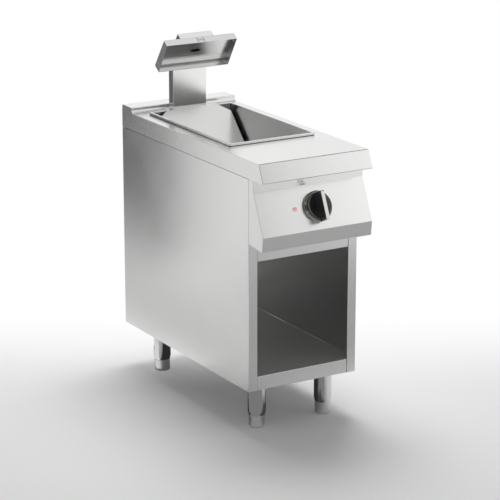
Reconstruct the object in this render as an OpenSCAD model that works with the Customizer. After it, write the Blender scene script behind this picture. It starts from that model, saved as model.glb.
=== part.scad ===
// Electric fry warmer on an open cabinet: a stainless worktop with a heated basin and a
// slide plate, a radiant hood on a bent post, a control panel and four adjustable feet.
// Millimetres. X runs to the right, Y to the rear, Z up from the floor.

/* [Cabinet] */
// Overall width of cabinet and worktop
cab_w = 400; // [370:5:450]
// Depth of the cabinet from its front face to its rear edge
cab_d = 836; // [816:2:870]
// Height of the worktop surface above the floor
top_z = 900; // [870:5:940]
// Height of the cabinet underside above the floor
foot_h = 150; // [140:1:160]
// Thickness of the cabinet sheets
skin = 1.2; // [0.8:0.1:1.5]
// Width of the front stiles
stile_w = 32; // [26:1:40]
// Depth of the safe edge folded back from a stile
stile_lip = 10; // [6:1:14]
// Width of the rear and top folds of the side panels
fold_w = 20; // [16:1:24]
// Distance of the rear folds inside the rear edge
rear_inset = 4; // [3:0.5:7]
// Height of the front rail below the shelf
plinth_h = 46; // [40:1:56]
// Clear height of the open compartment
open_h = 377; // [340:1:400]
// Depth of the folds of the front rails
rail_fold = 25; // [16:1:32]
// Joint left between neighbouring panels
seam = 0.6; // [0.3:0.1:1]

/* [Base and feet] */
// Distance of the foot axes from the cabinet's sides
foot_in = 75; // [55:1:100]
// Distance of the front foot axes behind the front face
foot_front = 76; // [64:1:100]
// Distance of the rear foot axes ahead of the rear edge
foot_rear = 125; // [100:1:150]
// Width of the two base channels
channel_w = 60; // [50:1:80]
// Thickness of the base channels
channel_t = 1.5; // [1:0.1:2.5]
// Outer diameter of the foot sleeves
sleeve_d = 58; // [52:1:64]
// Wall of the foot sleeves
sleeve_wall = 3; // [2:0.1:4]
// Height of the adjustable foot that shows below its sleeve
foot_show = 40; // [34:1:50]
// Length of the adjustable foot that stays inside its sleeve
foot_hold = 34; // [32:1:44]
// Diameter of the levelling stem
stem_d = 12; // [8:1:14]
// Diameter of the sleeve's threaded spigot
spigot_d = 20; // [18:1:24]
// Height of the ring nuts on the spigots
ring_nut_h = 8; // [5:1:12]

/* [Worktop] */
// Thickness of the worktop sheet
top_t = 2; // [1.5:0.1:3]
// Height of the side band and the fascia
band_h = 58; // [50:1:66]
// Overhang of the fascia at its upper edge
fascia_high = 60; // [50:1:66]
// Overhang of the fascia at its lower edge
fascia_low = 84; // [76:1:92]
// Height of the rear upstand above the worktop
upstand_h = 18.5; // [15:0.5:30]
// Radius of the cove at the foot of the upstand
cove_r = 10; // [6:1:14]
// Radius of the fascia's folded edges
edge_r = 3; // [2.5:0.5:4]

/* [Basin] */
// Inner width of the basin
basin_w = 300; // [270:2:310]
// Inner length of the basin
basin_l = 519; // [480:1:530]
// Distance of the basin's inner rear wall ahead of the rear edge
basin_back = 122; // [112:1:136]
// Depth of the basin floor below the worktop
basin_deep = 200; // [170:1:210]
// Thickness of the basin sheet
basin_t = 1.5; // [1:0.1:2]
// Height of the raised rim above the worktop
rim_h = 8.5; // [7:0.5:14]
// Width of the rim's top
rim_w = 8; // [7.5:0.5:12]
// Gap between the rim's outer lip and the worktop
rim_gap = 1.5; // [1:0.1:2.5]
// Width of the seal under the rim
gasket_w = 3; // [2:0.1:3.2]
// Play of the basin in the worktop's cut-out
cut_play = 1.4; // [0.5:0.1:1.6]

/* [Slide and false bottom] */
// Slope of the slide plate
slide_angle = 46; // [42:1:54]
// Thickness of the slide plate
slide_t = 1.2; // [0.8:0.1:2]
// Gap between the slide plate and each side wall
slide_gap = 11.5; // [6:0.5:16]
// Width of the slide plate's hook on the rear rim
hook_w = 190; // [150:2:220]
// Length of the slide plate's cut corners, along the slope
hook_cut = 33; // [20:1:45]
// Length of the slide plate's flat toe
toe_l = 12; // [6:1:20]
// Height of the false bottom above the basin floor
false_h = 14; // [10:1:20]
// Thickness of the false bottom
false_t = 1.5; // [1:0.1:2]
// Gap round the false bottom
false_gap = 4; // [2:0.5:8]
// Radius of the false bottom's holes
drain_r = 4.5; // [3:0.5:6]
// Spacing of the false bottom's holes
drain_pitch = 28; // [24:1:36]

/* [Control panel] */
// Overhang of the panel's upper strip
strip_out = 26; // [20:1:32]
// Height of the panel's upper strip
strip_h = 36; // [28:1:44]
// Height of the panel's slanted face
slant_h = 132; // [122:1:140]
// Overhang of the panel at the foot of the slanted face
panel_out = 85; // [78:1:90]
// Height of the panel's lower face
low_h = 47.5; // [40:0.5:54]
// Distance that the lower face leans back
low_back = 5; // [0:0.5:10]
// Rise of the panel's underside towards the cabinet
under_rise = 10; // [0:1:16]
// Thickness of the panel sheet
panel_t = 1.5; // [1:0.1:2]

/* [Knob and pilot light] */
// Distance of the knob's axis right of the middle plane
knob_x = 13; // [-10:1:30]
// Distance of the knob's axis up the slanted face
knob_s = 72; // [60:1:84]
// Radius of the knob's metal ring
ring_r = 49; // [40:0.5:52]
// Height of the knob's metal ring
ring_h = 13; // [10:0.5:18]
// Width of the chamfer at the front of the ring
ring_chamfer = 4; // [2:0.5:5]
// Radial width of the ring
ring_wall = 6; // [5.5:0.5:9]
// Gap between the knob and the panel
knob_gap = 1; // [0.5:0.1:2]
// Height of the knob's dished face above the panel
dish_h = 20; // [19:0.5:26]
// Depth of the dish at its middle
dish_deep = 6; // [3:0.5:8]
// Height of the grip bar's face above the panel
bar_h = 50; // [38:1:56]
// Width of the grip bar
bar_w = 13; // [11:1:20]
// Length of the grip bar
bar_l = 88; // [70:1:92]
// Distance of the grip bar's middle below the knob's axis
bar_low = 5; // [0:0.5:7]
// Thickness of the light strip on the bar
strip_t = 0.8; // [0.4:0.1:1.5]
// Diameter of the regulator's shaft
shaft_d = 6; // [5:0.5:8]
// Side of the regulator's body
reg_side = 44; // [36:1:48]
// Depth of the regulator's body
reg_deep = 28; // [22:1:32]
// Distance of the pilot light left of the middle plane
pilot_x = 68; // [60:1:90]
// Distance of the pilot light up the slanted face
pilot_s = 73.5; // [60:0.5:84]
// Radius of the pilot light's lens
pilot_r = 7; // [6:0.5:9]
// Radius of the pilot light's body
pilot_body_r = 5; // [4:0.5:5.5]
// Distance of the oval plug left of the middle plane
plug_x = 31; // [20:1:50]
// Length of the oval plug
plug_l = 22; // [16:1:28]
// Height of the oval plug
plug_h = 7; // [5:0.5:9]

/* [Lamp post] */
// Gap between the basin's rim and the post
post_gap = 4; // [2:0.5:6]
// Width of the post
post_w = 127; // [110:1:140]
// Depth of the upright part of the post
post_d = 30; // [26:1:33]
// Depth of the tilted arm
arm_d = 32; // [28:1:36]
// Height of the bend above the worktop, at the front
bend_h = 163; // [140:1:190]
// Length of the tilted arm
arm_l = 105; // [92:1:110]
// Tilt of the arm and the hood from upright
tilt = 35; // [28:1:42]
// Thickness of the post's sheet
post_t = 1.5; // [1:0.1:2]
// Thickness of the post's rear cover
cover_t = 1.2; // [0.8:0.1:1.5]

/* [Hood] */
// Width of the hood
hood_w = 266; // [240:2:300]
// Height of the hood's back
hood_h = 116; // [112:1:140]
// Depth of the hood at its upper wall
hood_d_high = 27; // [24:0.5:34]
// Depth of the hood at its lower wall
hood_d_low = 33; // [28:0.5:40]
// Distance of the hood's lower edge up the arm
hood_rise = 0.5; // [0:0.5:3]
// Thickness of the hood's sheets
hood_t = 1.2; // [0.8:0.1:1.5]
// Space between the hood's back and its liner
liner_gap = 4; // [3.6:0.1:6]
// Gap between the liner and the hood's lower wall
liner_drop = 5; // [3:0.5:8]
// Length of the slot in the middle of the hood
slot_l = 38; // [28:1:46]
// Height of the slot in the middle of the hood
slot_h = 12; // [8:1:16]

/* [Heating and electrics] */
// Radius of the tubular heating element
element_r = 4; // [3:0.5:5]
// Spacing of the element's runs
element_pitch = 70; // [56:1:72]
// Length of the element's straight runs
element_l = 330; // [280:5:360]
// Depth of the insulated tray below the basin floor
tray_deep = 45; // [40:1:60]
// Thickness of the insulation board
board_t = 20; // [12:1:22]
// Inner radius of the cable gland
gland_bore_r = 6.5; // [4:0.5:8]
// Radius of the bonding stud
stud_r = 3; // [2.5:0.5:4]

/* [Fits] */
// Radial play of a shaft that turns in a bore
turn_play = 0.05; // [0.02:0.01:0.09]
// Radial play of an adjustable foot in its sleeve
foot_play = 0.4; // [0.3:0.05:0.6]
// Gap under a piece that lifts out
seat = 0.3; // [0.2:0.05:0.4]
// Clearance of a screw in its hole
screw_play = 0.2; // [0.1:0.05:0.4]

/* [Hidden] */
$fn = 48;

// Extra length of a cutting solid past the face that it cuts
past = 1;
// Colours
steel = [0.78, 0.78, 0.78];
dark_steel = [0.55, 0.55, 0.56];
black = [0.06, 0.06, 0.06];

// Cabinet, worktop and compartment levels
half_w = cab_w / 2;
inner_x = half_w - skin;
stile_x = half_w - stile_w;
shelf_z = foot_h + plinth_h;
shelf_low_z = shelf_z - skin;
open_top_z = shelf_z + open_h;
band_z = top_z - band_h;
fold_y = cab_d - rear_inset - skin;
back_y = fold_y - skin;
behind_lip = stile_lip + seam;

// Control panel outline: strip top, strip foot, slant foot, low edge, rear edge
panel_top_z = band_z - seat;
strip_low_z = panel_top_z - strip_h;
slant_low_z = strip_low_z - slant_h;
panel_low_z = slant_low_z - low_h;
panel_rear_z = panel_low_z + under_rise;
slant_a = atan2(panel_out - strip_out, slant_h);
slant_len = slant_h / cos(slant_a);
panel_pts = [[-panel_out, slant_low_z], [low_back - panel_out, panel_low_z], [0, panel_rear_z],
    [0, panel_top_z], [-strip_out, panel_top_z], [-strip_out, strip_low_z]];
lip_w = 10;
lip_y = -strip_out + lip_w;

// Knob reach, which sets the middle of the whole object in Y
knob_front_y = -panel_out + (knob_s - bar_low - bar_l / 2) * sin(slant_a) - (bar_h + strip_t) * cos(slant_a);
mid_y = (cab_d + knob_front_y) / 2;

// Basin
basin_x = basin_w / 2;
basin_rear = cab_d - basin_back;
basin_front = basin_rear - basin_l;
basin_low_z = top_z - basin_deep;
rim_z = top_z + rim_h;
rim_x = basin_x + rim_w;
wall_x = basin_x + basin_t;

// Post, arm and hood
post_y = basin_rear + rim_w + post_gap;
post_rear_y = post_y + post_d;
cove_y = post_rear_y + 1;
upstand_y = cove_y + cove_r;
upstand_z = top_z + upstand_h;
bend_z = top_z + bend_h;
arm_u = [-sin(tilt), cos(tilt)];
arm_n = [cos(tilt), sin(tilt)];
bend_front = [post_y, bend_z];
bend_rear = let (b = bend_front + arm_d * arm_n, s = (b[0] - post_rear_y) / sin(tilt)) b + s * arm_u;
arm_top_front = bend_front + arm_l * arm_u;
arm_top_rear = arm_top_front + arm_d * arm_n;
post_pts = [[post_y, top_z], [post_rear_y, top_z], bend_rear, arm_top_rear, arm_top_front, bend_front];
hood_mid = hood_rise + hood_h / 2;

// Slide plate and false bottom
false_top_z = basin_low_z + seat + false_h;
hook_z = rim_z + seat;
hook_in = 2.5;
hook_y = basin_rear - hook_in;
toe_z = false_top_z + seat;
slide_run = (hook_z - toe_z) / tan(slide_angle);
slide_x = basin_x - slide_gap;

// Feet
foot_x = half_w - foot_in;
foot_spots = [[-foot_x, foot_front], [foot_x, foot_front], [-foot_x, cab_d - foot_rear],
    [foot_x, cab_d - foot_rear]];
sleeve_r = sleeve_d / 2;
foot_r = sleeve_r - sleeve_wall - foot_play;
stem_r = stem_d / 2;
spigot_r = spigot_d / 2;
spigot_top_z = foot_h + channel_t + ring_nut_h + 2;
stem_top_z = spigot_top_z + 2;

// Sheet metal outlines

function unit(v) = v / norm(v);
function left_of(v) = [-v[1], v[0]];
// A path moved to its left by t, with mitred corners
function beside(p, t) = [for (i = [0 : len(p) - 1])
    let (a = i > 0 ? unit(p[i] - p[i - 1]) : unit(p[1] - p[0]),
         b = i < len(p) - 1 ? unit(p[i + 1] - p[i]) : a)
    p[i] + t * (left_of(a) + left_of(b)) / (1 + a * b)];
function backwards(p) = [for (i = [len(p) - 1 : -1 : 0]) p[i]];
// The outline of a sheet t thick whose one face follows the path and whose body lies to its left
function folded(p, t) = concat(p, backwards(beside(p, t)));
// A closed outline, anticlockwise, moved inwards by t
function inset(p, t) = [for (i = [0 : len(p) - 1])
    let (a = unit(p[i] - p[(i + len(p) - 1) % len(p)]), b = unit(p[(i + 1) % len(p)] - p[i]))
    p[i] + t * (left_of(a) + left_of(b)) / (1 + a * b)];
// Points along an arc
function arc(c, r, a0, a1, n) = [for (i = [0 : n]) let (a = a0 + (a1 - a0) * i / n)
    c + r * [cos(a), sin(a)]];

module rig() translate([0, -mid_y, 0]) children();
// A box between two corners
module block(lo, hi) translate(lo) cube(hi - lo);
// A solid whose side outline (Y, Z) reaches from x0 to x1
module across(x0, x1, pts) translate([x0, 0, 0]) rotate([90, 0, 90]) linear_extrude(x1 - x0) polygon(pts);
// A solid whose plan outline (X, Y) reaches from z0 to z1
module upright(z0, z1, pts) translate([0, 0, z0]) linear_extrude(z1 - z0) polygon(pts);
module mirror_x() { children(); mirror([1, 0, 0]) children(); }
// A route whose inner corners are eased over a length b
function eased(p, b) = concat([p[0]], [for (i = [1 : len(p) - 2]) for (t = [0 : 0.5 : 1])
    let (from = p[i] + b * unit(p[i - 1] - p[i]), to = p[i] + b * unit(p[i + 1] - p[i]))
    (1 - t) * (1 - t) * from + 2 * t * (1 - t) * p[i] + t * t * to], [p[len(p) - 1]]);
function heading(p, i) = unit((i > 0 ? unit(p[i] - p[i - 1]) : [0, 0, 0])
    + (i < len(p) - 1 ? unit(p[i + 1] - p[i]) : [0, 0, 0]));
// Side directions carried along a route without twist
function carried(dirs, i, side) = i == len(dirs) ? [] :
    let (n = unit(side - (side * dirs[i]) * dirs[i])) concat([n], carried(dirs, i + 1, n));
// An eight-sided cable or capillary along a route
module tube(route, r, ease = 12) {
    p = eased(route, ease);
    n = len(p);
    m = 8;
    dirs = [for (i = [0 : n - 1]) heading(p, i)];
    sides = carried(dirs, 0, unit(cross(dirs[0], [1, 0.3, 0.2])));
    points = [for (i = [0 : n - 1]) for (k = [0 : m - 1])
        p[i] + r * (cos(360 * k / m) * sides[i] + sin(360 * k / m) * cross(dirs[i], sides[i]))];
    walls = [for (i = [0 : n - 2]) for (k = [0 : m - 1])
        let (a = i * m + k, b = i * m + (k + 1) % m) each [[a, a + m, b], [b, a + m, b + m]]];
    caps = [for (k = [1 : m - 2]) each [[0, k, k + 1], [(n - 1) * m, (n - 1) * m + k + 1, (n - 1) * m + k]]];
    polyhedron(points, concat(walls, caps));
}
// Places children on the slanted face, s up from its foot, with Z out of the panel
module on_slant(x, s) translate([x, -panel_out, slant_low_z]) rotate([90 - slant_a, 0, 0])
    translate([0, s, 0]) children();
// Places children on the arm: Z up the arm, Y negative out of the hood's mouth
module on_arm() translate([0, post_y, bend_z]) rotate([tilt, 0, 0]) children();
// An oval l long and h high, square to Y, from y0 to y1
module oval_y(l, h, y0, y1) translate([0, y1, 0]) rotate([90, 0, 0]) {
    translate([-(l - h) / 2, -h / 2, 0]) cube([l - h, h, y1 - y0]);
    for (side = [-1, 1]) translate([side * (l - h) / 2, 0, 0]) cylinder(h = y1 - y0, d = h);
}
// A pan-head screw along Z with its head on z = 0, pointing down
module pan_screw(r, head_r, head_h, length) {
    cylinder(h = head_h, r = head_r);
    translate([0, 0, -length]) cylinder(h = length + head_h / 2, r = r);
}

// Cabinet shell

// Rear screws: distance from the middle plane, distance of the end ones from the edges, and heights
rear_screw_x = half_w - fold_w / 2;
rear_screw_in = 60;
rear_screw_zs = [for (i = [0 : 3]) foot_h + rear_screw_in + i * (band_z - foot_h - 2 * rear_screw_in) / 3];
rear_screw_r = 2;
rear_screw_head_r = 3.5;
rear_screw_head = 2.2;
rear_screw_reach = 2 * skin + 5;
// Holes for the rear screws in a sheet whose front face is at y
module rear_screw_holes(y) for (x = [-rear_screw_x, rear_screw_x], z = rear_screw_zs)
    translate([x, y - past, z]) rotate([-90, 0, 0])
        cylinder(h = skin + 2 * past, r = rear_screw_r + screw_play);
// Right-hand side panel: one sheet folded at the front, the rear and the top
module side_panel_sheet() difference() {
    union() {
        upright(foot_h, band_z, folded([[stile_x, stile_lip], [stile_x, 0], [half_w, 0],
            [half_w, fold_y + skin], [half_w - fold_w, fold_y + skin]], skin));
        block([inner_x, fold_y + skin - past, foot_h], [half_w, cab_d, band_z]);
        block([half_w - fold_w, skin, band_z - skin], [inner_x + skin / 2, fold_y, band_z]);
    }
    rear_screw_holes(fold_y);
}
module left_side_panel() color(steel) rig() mirror([1, 0, 0]) side_panel_sheet();
module right_side_panel() color(steel) rig() side_panel_sheet();

// Height of the cable grommet above the shelf, and its bore in the back panel
grommet_z = shelf_z + 60;
grommet_x = 110;
grommet_r = 16;
// Vent slots of the back panel, in two columns
vent_x = 80;
vent_l = 60;
vent_h = 5;
vent_pitch = 14;
vent_top_z = band_z - 60;
module back_panel() color(steel) rig() difference() {
    block([-inner_x + seam, back_y, foot_h + seam], [inner_x - seam, back_y + skin, band_z - skin - seam]);
    translate([grommet_x, back_y - past, grommet_z]) rotate([-90, 0, 0])
        cylinder(h = skin + 2 * past, r = grommet_r);
    for (x = [-vent_x, vent_x], i = [0 : 5]) translate([x, 0, vent_top_z - i * vent_pitch])
        oval_y(vent_l, vent_h, back_y - past, back_y + skin + past);
    rear_screw_holes(back_y);
}
module back_panel_screws() color(dark_steel) rig()
    for (side = [-1, 1], z = rear_screw_zs) translate([side * rear_screw_x, cab_d - rear_inset, z])
        rotate([-90, 0, 0]) 
            pan_screw(rear_screw_r, rear_screw_head_r, rear_screw_head, rear_screw_reach);

// Shelf of the open compartment with its front rail, folded from one sheet
module bottom_shelf() color(steel) rig() {
    across(-inner_x + seam, inner_x - seam,
        folded([[back_y - seat, shelf_z], [behind_lip + skin, shelf_z]], skin));
    across(-stile_x + seam, stile_x - seam, folded([[behind_lip + 2 * skin, shelf_z], [0, shelf_z],
        [0, foot_h], [rail_fold, foot_h]], skin));
}
// A base channel open upwards, with closed ends, and holes for two foot spigots
module base_channel(y) difference() {
    union() {
        across(-inner_x, inner_x, folded([[y - channel_w / 2, shelf_low_z], [y - channel_w / 2, foot_h],
            [y + channel_w / 2, foot_h], [y + channel_w / 2, shelf_low_z]], channel_t));
        mirror_x() block([inner_x - channel_t, y - channel_w / 2 + channel_t / 2, foot_h],
            [inner_x, y + channel_w / 2 - channel_t / 2, shelf_low_z]);
    }
    mirror_x() translate([foot_x, y, foot_h - past])
        cylinder(h = channel_t + 2 * past, r = spigot_r + screw_play);
}
module front_base_channel() color(dark_steel) rig() base_channel(foot_front);
// Place of the bonding stud on the rear channel's web
stud_x = 60;
stud_y = cab_d - foot_rear;
// Bonding stud: length below and above the web, heights of its nuts, and place of its washer
stud_down = 18;
stud_up = 8;
stud_nut = 4;
stud_washer = 1;
stud_washer_z = -9;
module rear_base_channel() color(dark_steel) rig() difference() {
    base_channel(cab_d - foot_rear);
    translate([stud_x, stud_y, foot_h - past]) cylinder(h = channel_t + 2 * past, r = stud_r + screw_play);
}
module bonding_stud() color("gold") rig() translate([stud_x, stud_y, foot_h]) {
    translate([0, 0, -stud_down]) cylinder(h = stud_down + channel_t + stud_up, r = stud_r);
    for (z = [channel_t, -stud_nut]) translate([0, 0, z]) cylinder(h = stud_nut, r = 2 * stud_r, $fn = 6);
    translate([0, 0, stud_washer_z]) cylinder(h = stud_washer, r = 2.4 * stud_r);
}

// Rail over the open compartment
module head_rail() color(steel) rig() {
    across(-stile_x + seam, stile_x - seam, folded([[rail_fold, panel_rear_z], [0, panel_rear_z],
        [0, open_top_z], [rail_fold, open_top_z]], skin));
    mirror_x() block([stile_x - seam - skin, skin / 2, open_top_z + skin / 2],
        [stile_x - seam, stile_lip, panel_rear_z - skin / 2]);
}
// Rail behind the upstand that joins the side panels and carries the worktop's rear
rear_rail_fold = 24;
module rear_top_rail() color(dark_steel) rig()
    across(-half_w + top_t + seam, half_w - top_t - seam, folded([[back_y - rear_rail_fold, band_z],
        [back_y, band_z], [back_y, upstand_z - top_t], [back_y - rear_rail_fold, upstand_z - top_t]], skin));
// Sheet that closes the open compartment from above
ceiling_z = open_top_z + skin;
ceiling_fold = 18;
gland_x = 110;
gland_y = back_y - 60;
gland_r = 10;
module compartment_ceiling() color(steel) rig() difference() {
    union() {
        across(-inner_x, inner_x, folded([[behind_lip, ceiling_z], [back_y, ceiling_z],
            [back_y, ceiling_z + ceiling_fold]], skin));
        mirror_x() block([inner_x - skin, behind_lip, ceiling_z + skin / 2],
            [inner_x, back_y - fold_w, ceiling_z + ceiling_fold]);
    }
    translate([gland_x, gland_y, ceiling_z - past]) cylinder(h = skin + 2 * past, r = gland_r + screw_play);
    rear_screw_holes(back_y - skin);
}

// Worktop

cove = arc([cove_y, top_z + cove_r], cove_r, 0, -90, 6);
high_edge = [-fascia_high, top_z];
low_edge = [-fascia_low, band_z];
// A rounded convex corner: tangent length k either side of corner c, from direction a to direction b
function soft_corner(c, a, b, r, n) = let (turn = acos(a * b), k = r * tan(turn / 2),
    centre = c - k * a + r * left_of(a), a0 = atan2(-left_of(a)[1], -left_of(a)[0]))
    [for (i = [0 : n]) centre + r * [cos(a0 + turn * i / n), sin(a0 + turn * i / n)]];
fascia_dir = unit(low_edge - high_edge);
worktop_pts = concat([[cab_d, band_z], [cab_d, upstand_z], [upstand_y, upstand_z]], cove,
    soft_corner(high_edge, [-1, 0], fascia_dir, edge_r, 5),
    soft_corner(low_edge, fascia_dir, [1, 0], edge_r, 5));
post_bolt_x = 42;
post_bolt_y = post_y + post_d / 2;
post_bolt_r = 4;
cable_hole_r = 8;
module post_holes(z0, z1) {
    for (x = [-post_bolt_x, post_bolt_x]) translate([x, post_bolt_y, z0])
        cylinder(h = z1 - z0, r = post_bolt_r + screw_play);
    translate([0, post_bolt_y, z0]) cylinder(h = z1 - z0, r = cable_hole_r);
}
module worktop() color(steel) rig() difference() {
    across(-half_w, half_w, worktop_pts);
    across(-half_w + top_t, half_w - top_t, inset(worktop_pts, top_t));
    block([-half_w + top_t, lip_y, band_z - past], [half_w - top_t, cab_d - top_t, band_z + top_t + past]);
    block([-wall_x - cut_play, basin_front - basin_t - cut_play, top_z - top_t - past],
        [wall_x + cut_play, basin_rear + basin_t + cut_play, top_z + past]);
    post_holes(top_z - top_t - past, top_z + past);
}
// Channels between the side panels' top folds and the worktop
bearer_x = half_w - fold_w - top_t;
bearer_gap = 4;
module bearer() across_y(behind_lip + bearer_gap, back_y - rear_rail_fold - bearer_gap,
    folded([[half_w - top_t - seam, top_z - top_t], [bearer_x, top_z - top_t], [bearer_x, band_z],
        [half_w - top_t - seam, band_z]], channel_t));
// A solid whose front outline (X, Z) reaches from y0 to y1
module across_y(y0, y1, pts) translate([0, y1, 0]) rotate([90, 0, 0]) linear_extrude(y1 - y0) polygon(pts);
module left_worktop_bearer() color(dark_steel) rig() mirror([1, 0, 0]) bearer();
module right_worktop_bearer() color(dark_steel) rig() bearer();

// Basin

// Half side of the open corners of the rim's lip
corner_cut = 1.8;
module basin() color(steel) rig() difference() {
    union() {
        block([-wall_x, basin_front - basin_t, basin_low_z - basin_t],
            [wall_x, basin_rear + basin_t, rim_z - basin_t / 2]);
        block([-rim_x, basin_front - rim_w, top_z + rim_gap], [rim_x, basin_rear + rim_w, rim_z]);
    }
    block([-basin_x, basin_front, basin_low_z], [basin_x, basin_rear, rim_z + past]);
    difference() {
        block([-rim_x + basin_t, basin_front - rim_w + basin_t, top_z + rim_gap - past],
            [rim_x - basin_t, basin_rear + rim_w - basin_t, rim_z - basin_t]);
        block([-wall_x, basin_front - basin_t, top_z], [wall_x, basin_rear + basin_t, rim_z]);
    }
    for (x = [-rim_x, rim_x], y = [basin_front - rim_w, basin_rear + rim_w])
        block([x - corner_cut, y - corner_cut, top_z], [x + corner_cut, y + corner_cut, rim_z - basin_t]);
}
module basin_gasket() color(black) rig() difference() {
    x0 = wall_x + cut_play + seat;
    y0 = basin_front - basin_t - cut_play - seat;
    y1 = basin_rear + basin_t + cut_play + seat;
    block([-x0 - gasket_w, y0 - gasket_w, top_z], [x0 + gasket_w, y1 + gasket_w, rim_z - basin_t]);
    block([-x0, y0, top_z - past], [x0, y1, rim_z]);
}
// Angle brackets that hold the basin down to the worktop
bracket_w = 40;
bracket_leg = 36;
bracket_t = 2;
bracket_gap = 3;
bracket_ys = [for (i = [0 : 2]) basin_front + basin_l * (1 + 2 * i) / 6];
module basin_brackets() color(dark_steel) rig() mirror_x() for (y = bracket_ys)
    across_y(y - bracket_w / 2, y + bracket_w / 2, folded([[bearer_x - bracket_gap, top_z - top_t],
        [wall_x, top_z - top_t], [wall_x, top_z - top_t - bracket_leg]], bracket_t));

// Slide plate: hook on the rear rim, slope, and toe on the false bottom
hook_end_y = basin_rear + rim_w;
slide_path = [[hook_y - slide_run - toe_l, toe_z], [hook_y - slide_run, toe_z], [hook_y, hook_z],
    [hook_end_y, hook_z]];
module slide_plate() color(steel) rig() difference() {
    across(-slide_x, slide_x, folded(slide_path, slide_t));
    cut_y = hook_cut * cos(slide_angle);
    cut_z = hook_cut * sin(slide_angle);
    mirror_x() translate([0, 0, hook_z - cut_z - past]) linear_extrude(cut_z + slide_t + 2 * past)
        polygon([[hook_w / 2, hook_y],
            [slide_x + past, hook_y - cut_y - past * cut_y / (slide_x - hook_w / 2)],
            [slide_x + past, hook_end_y + past], [hook_w / 2, hook_end_y + past]]);
}
// False bottom: a perforated plate with its edges folded down
false_x = basin_x - false_gap;
false_y0 = basin_front + false_gap;
false_y1 = basin_rear - false_gap;
drain_nx = floor((2 * false_x - 3 * drain_r) / drain_pitch);
drain_ny = floor((false_y1 - false_y0 - 3 * drain_r) / drain_pitch);
module false_bottom() color(steel) rig() difference() {
    z0 = basin_low_z + seat;
    block([-false_x, false_y0, z0], [false_x, false_y1, false_top_z]);
    block([-false_x + false_t, false_y0 + false_t, z0 - past],
        [false_x - false_t, false_y1 - false_t, false_top_z - false_t]);
    translate([0, (false_y0 + false_y1) / 2, false_top_z - false_t - past])
        for (i = [0 : drain_nx - 1], j = [0 : drain_ny - 1])
            let (x = (i - (drain_nx - 1) / 2) * drain_pitch,
                 y = (j - (drain_ny - 1) / 2) * drain_pitch)
                translate([x, y, 0]) cylinder(h = false_t + 2 * past, r = drain_r, $fn = 16);
}

// Heating under the basin

element_z = basin_low_z - basin_t - element_r - seat;
element_ahead = 20;
element_y0 = basin_front + (basin_l - element_l) / 2 - element_ahead;
element_y1 = element_y0 + element_l;
// Cold ends of the element: axis, front end of the sheath, front end of the pins
pin_x = 1.5 * element_pitch;
sheath_out = 22;
pin_l = 12;
sheath_y = basin_front - basin_t - sheath_out;
pin_y = sheath_y - pin_l;
module heating_element() color([0.35, 0.33, 0.31]) rig() translate([0, 0, element_z]) {
    for (i = [-1.5, -0.5, 0.5, 1.5]) {
        y0 = abs(i) > 1 ? sheath_y : element_y0;
        translate([i * element_pitch, y0, 0]) rotate([-90, 0, 0])
            cylinder(h = element_y1 - y0, r = element_r);
    }
    for (i = [-1, 1]) translate([i * element_pitch, element_y1, 0])
        rotate_extrude(angle = 180) translate([element_pitch / 2, 0]) circle(r = element_r);
    translate([0, element_y0, 0]) rotate([0, 0, 180])
        rotate_extrude(angle = 180) translate([element_pitch / 2, 0]) circle(r = element_r);
    for (x = [-pin_x, pin_x]) translate([x, pin_y, 0])
        rotate([-90, 0, 0]) cylinder(h = sheath_y - pin_y + past, r = element_r / 2);
}
clamp_w = 16;
clamp_t = 2;
clamp_x = pin_x + clamp_w;
clamp_in = 40;
clamp_ys = [element_y0 + clamp_in, element_y1 - clamp_in];
clamp_z = element_z - element_r - seat;
clamp_stud_r = 2.5;
clamp_nut = 4;
module element_clamps() color(dark_steel) rig() for (y = clamp_ys) {
    block([-clamp_x, y - clamp_w / 2, clamp_z - clamp_t], [clamp_x, y + clamp_w / 2, clamp_z]);
    for (i = [-1, 0, 1]) translate([i * element_pitch, y, clamp_z - clamp_t - clamp_nut]) {
        cylinder(h = basin_low_z - basin_t - clamp_z + clamp_t + clamp_nut, r = clamp_stud_r);
        cylinder(h = clamp_nut, r = 2 * clamp_stud_r, $fn = 6);
    }
}
tray_low_z = basin_low_z - basin_t - tray_deep;
tray_lap = 15;
tray_high_z = basin_low_z + tray_lap;
board_gap = 1;
module insulation_tray() color(dark_steel) rig() difference() {
    block([-wall_x - skin, basin_front - basin_t - skin, tray_low_z],
        [wall_x + skin, basin_rear + basin_t + skin, tray_high_z]);
    block([-wall_x, basin_front - basin_t, tray_low_z + skin],
        [wall_x, basin_rear + basin_t, tray_high_z + past]);
    for (x = [-pin_x, pin_x]) translate([x, basin_front - basin_t - skin - past, element_z])
        rotate([-90, 0, 0]) cylinder(h = skin + 2 * past, r = element_r + screw_play);
}
module insulation_board() color("white") rig()
    block([-wall_x + board_gap, basin_front - basin_t + board_gap, tray_low_z + skin],
        [wall_x - board_gap, basin_rear + basin_t - board_gap, tray_low_z + skin + board_t]);
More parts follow.
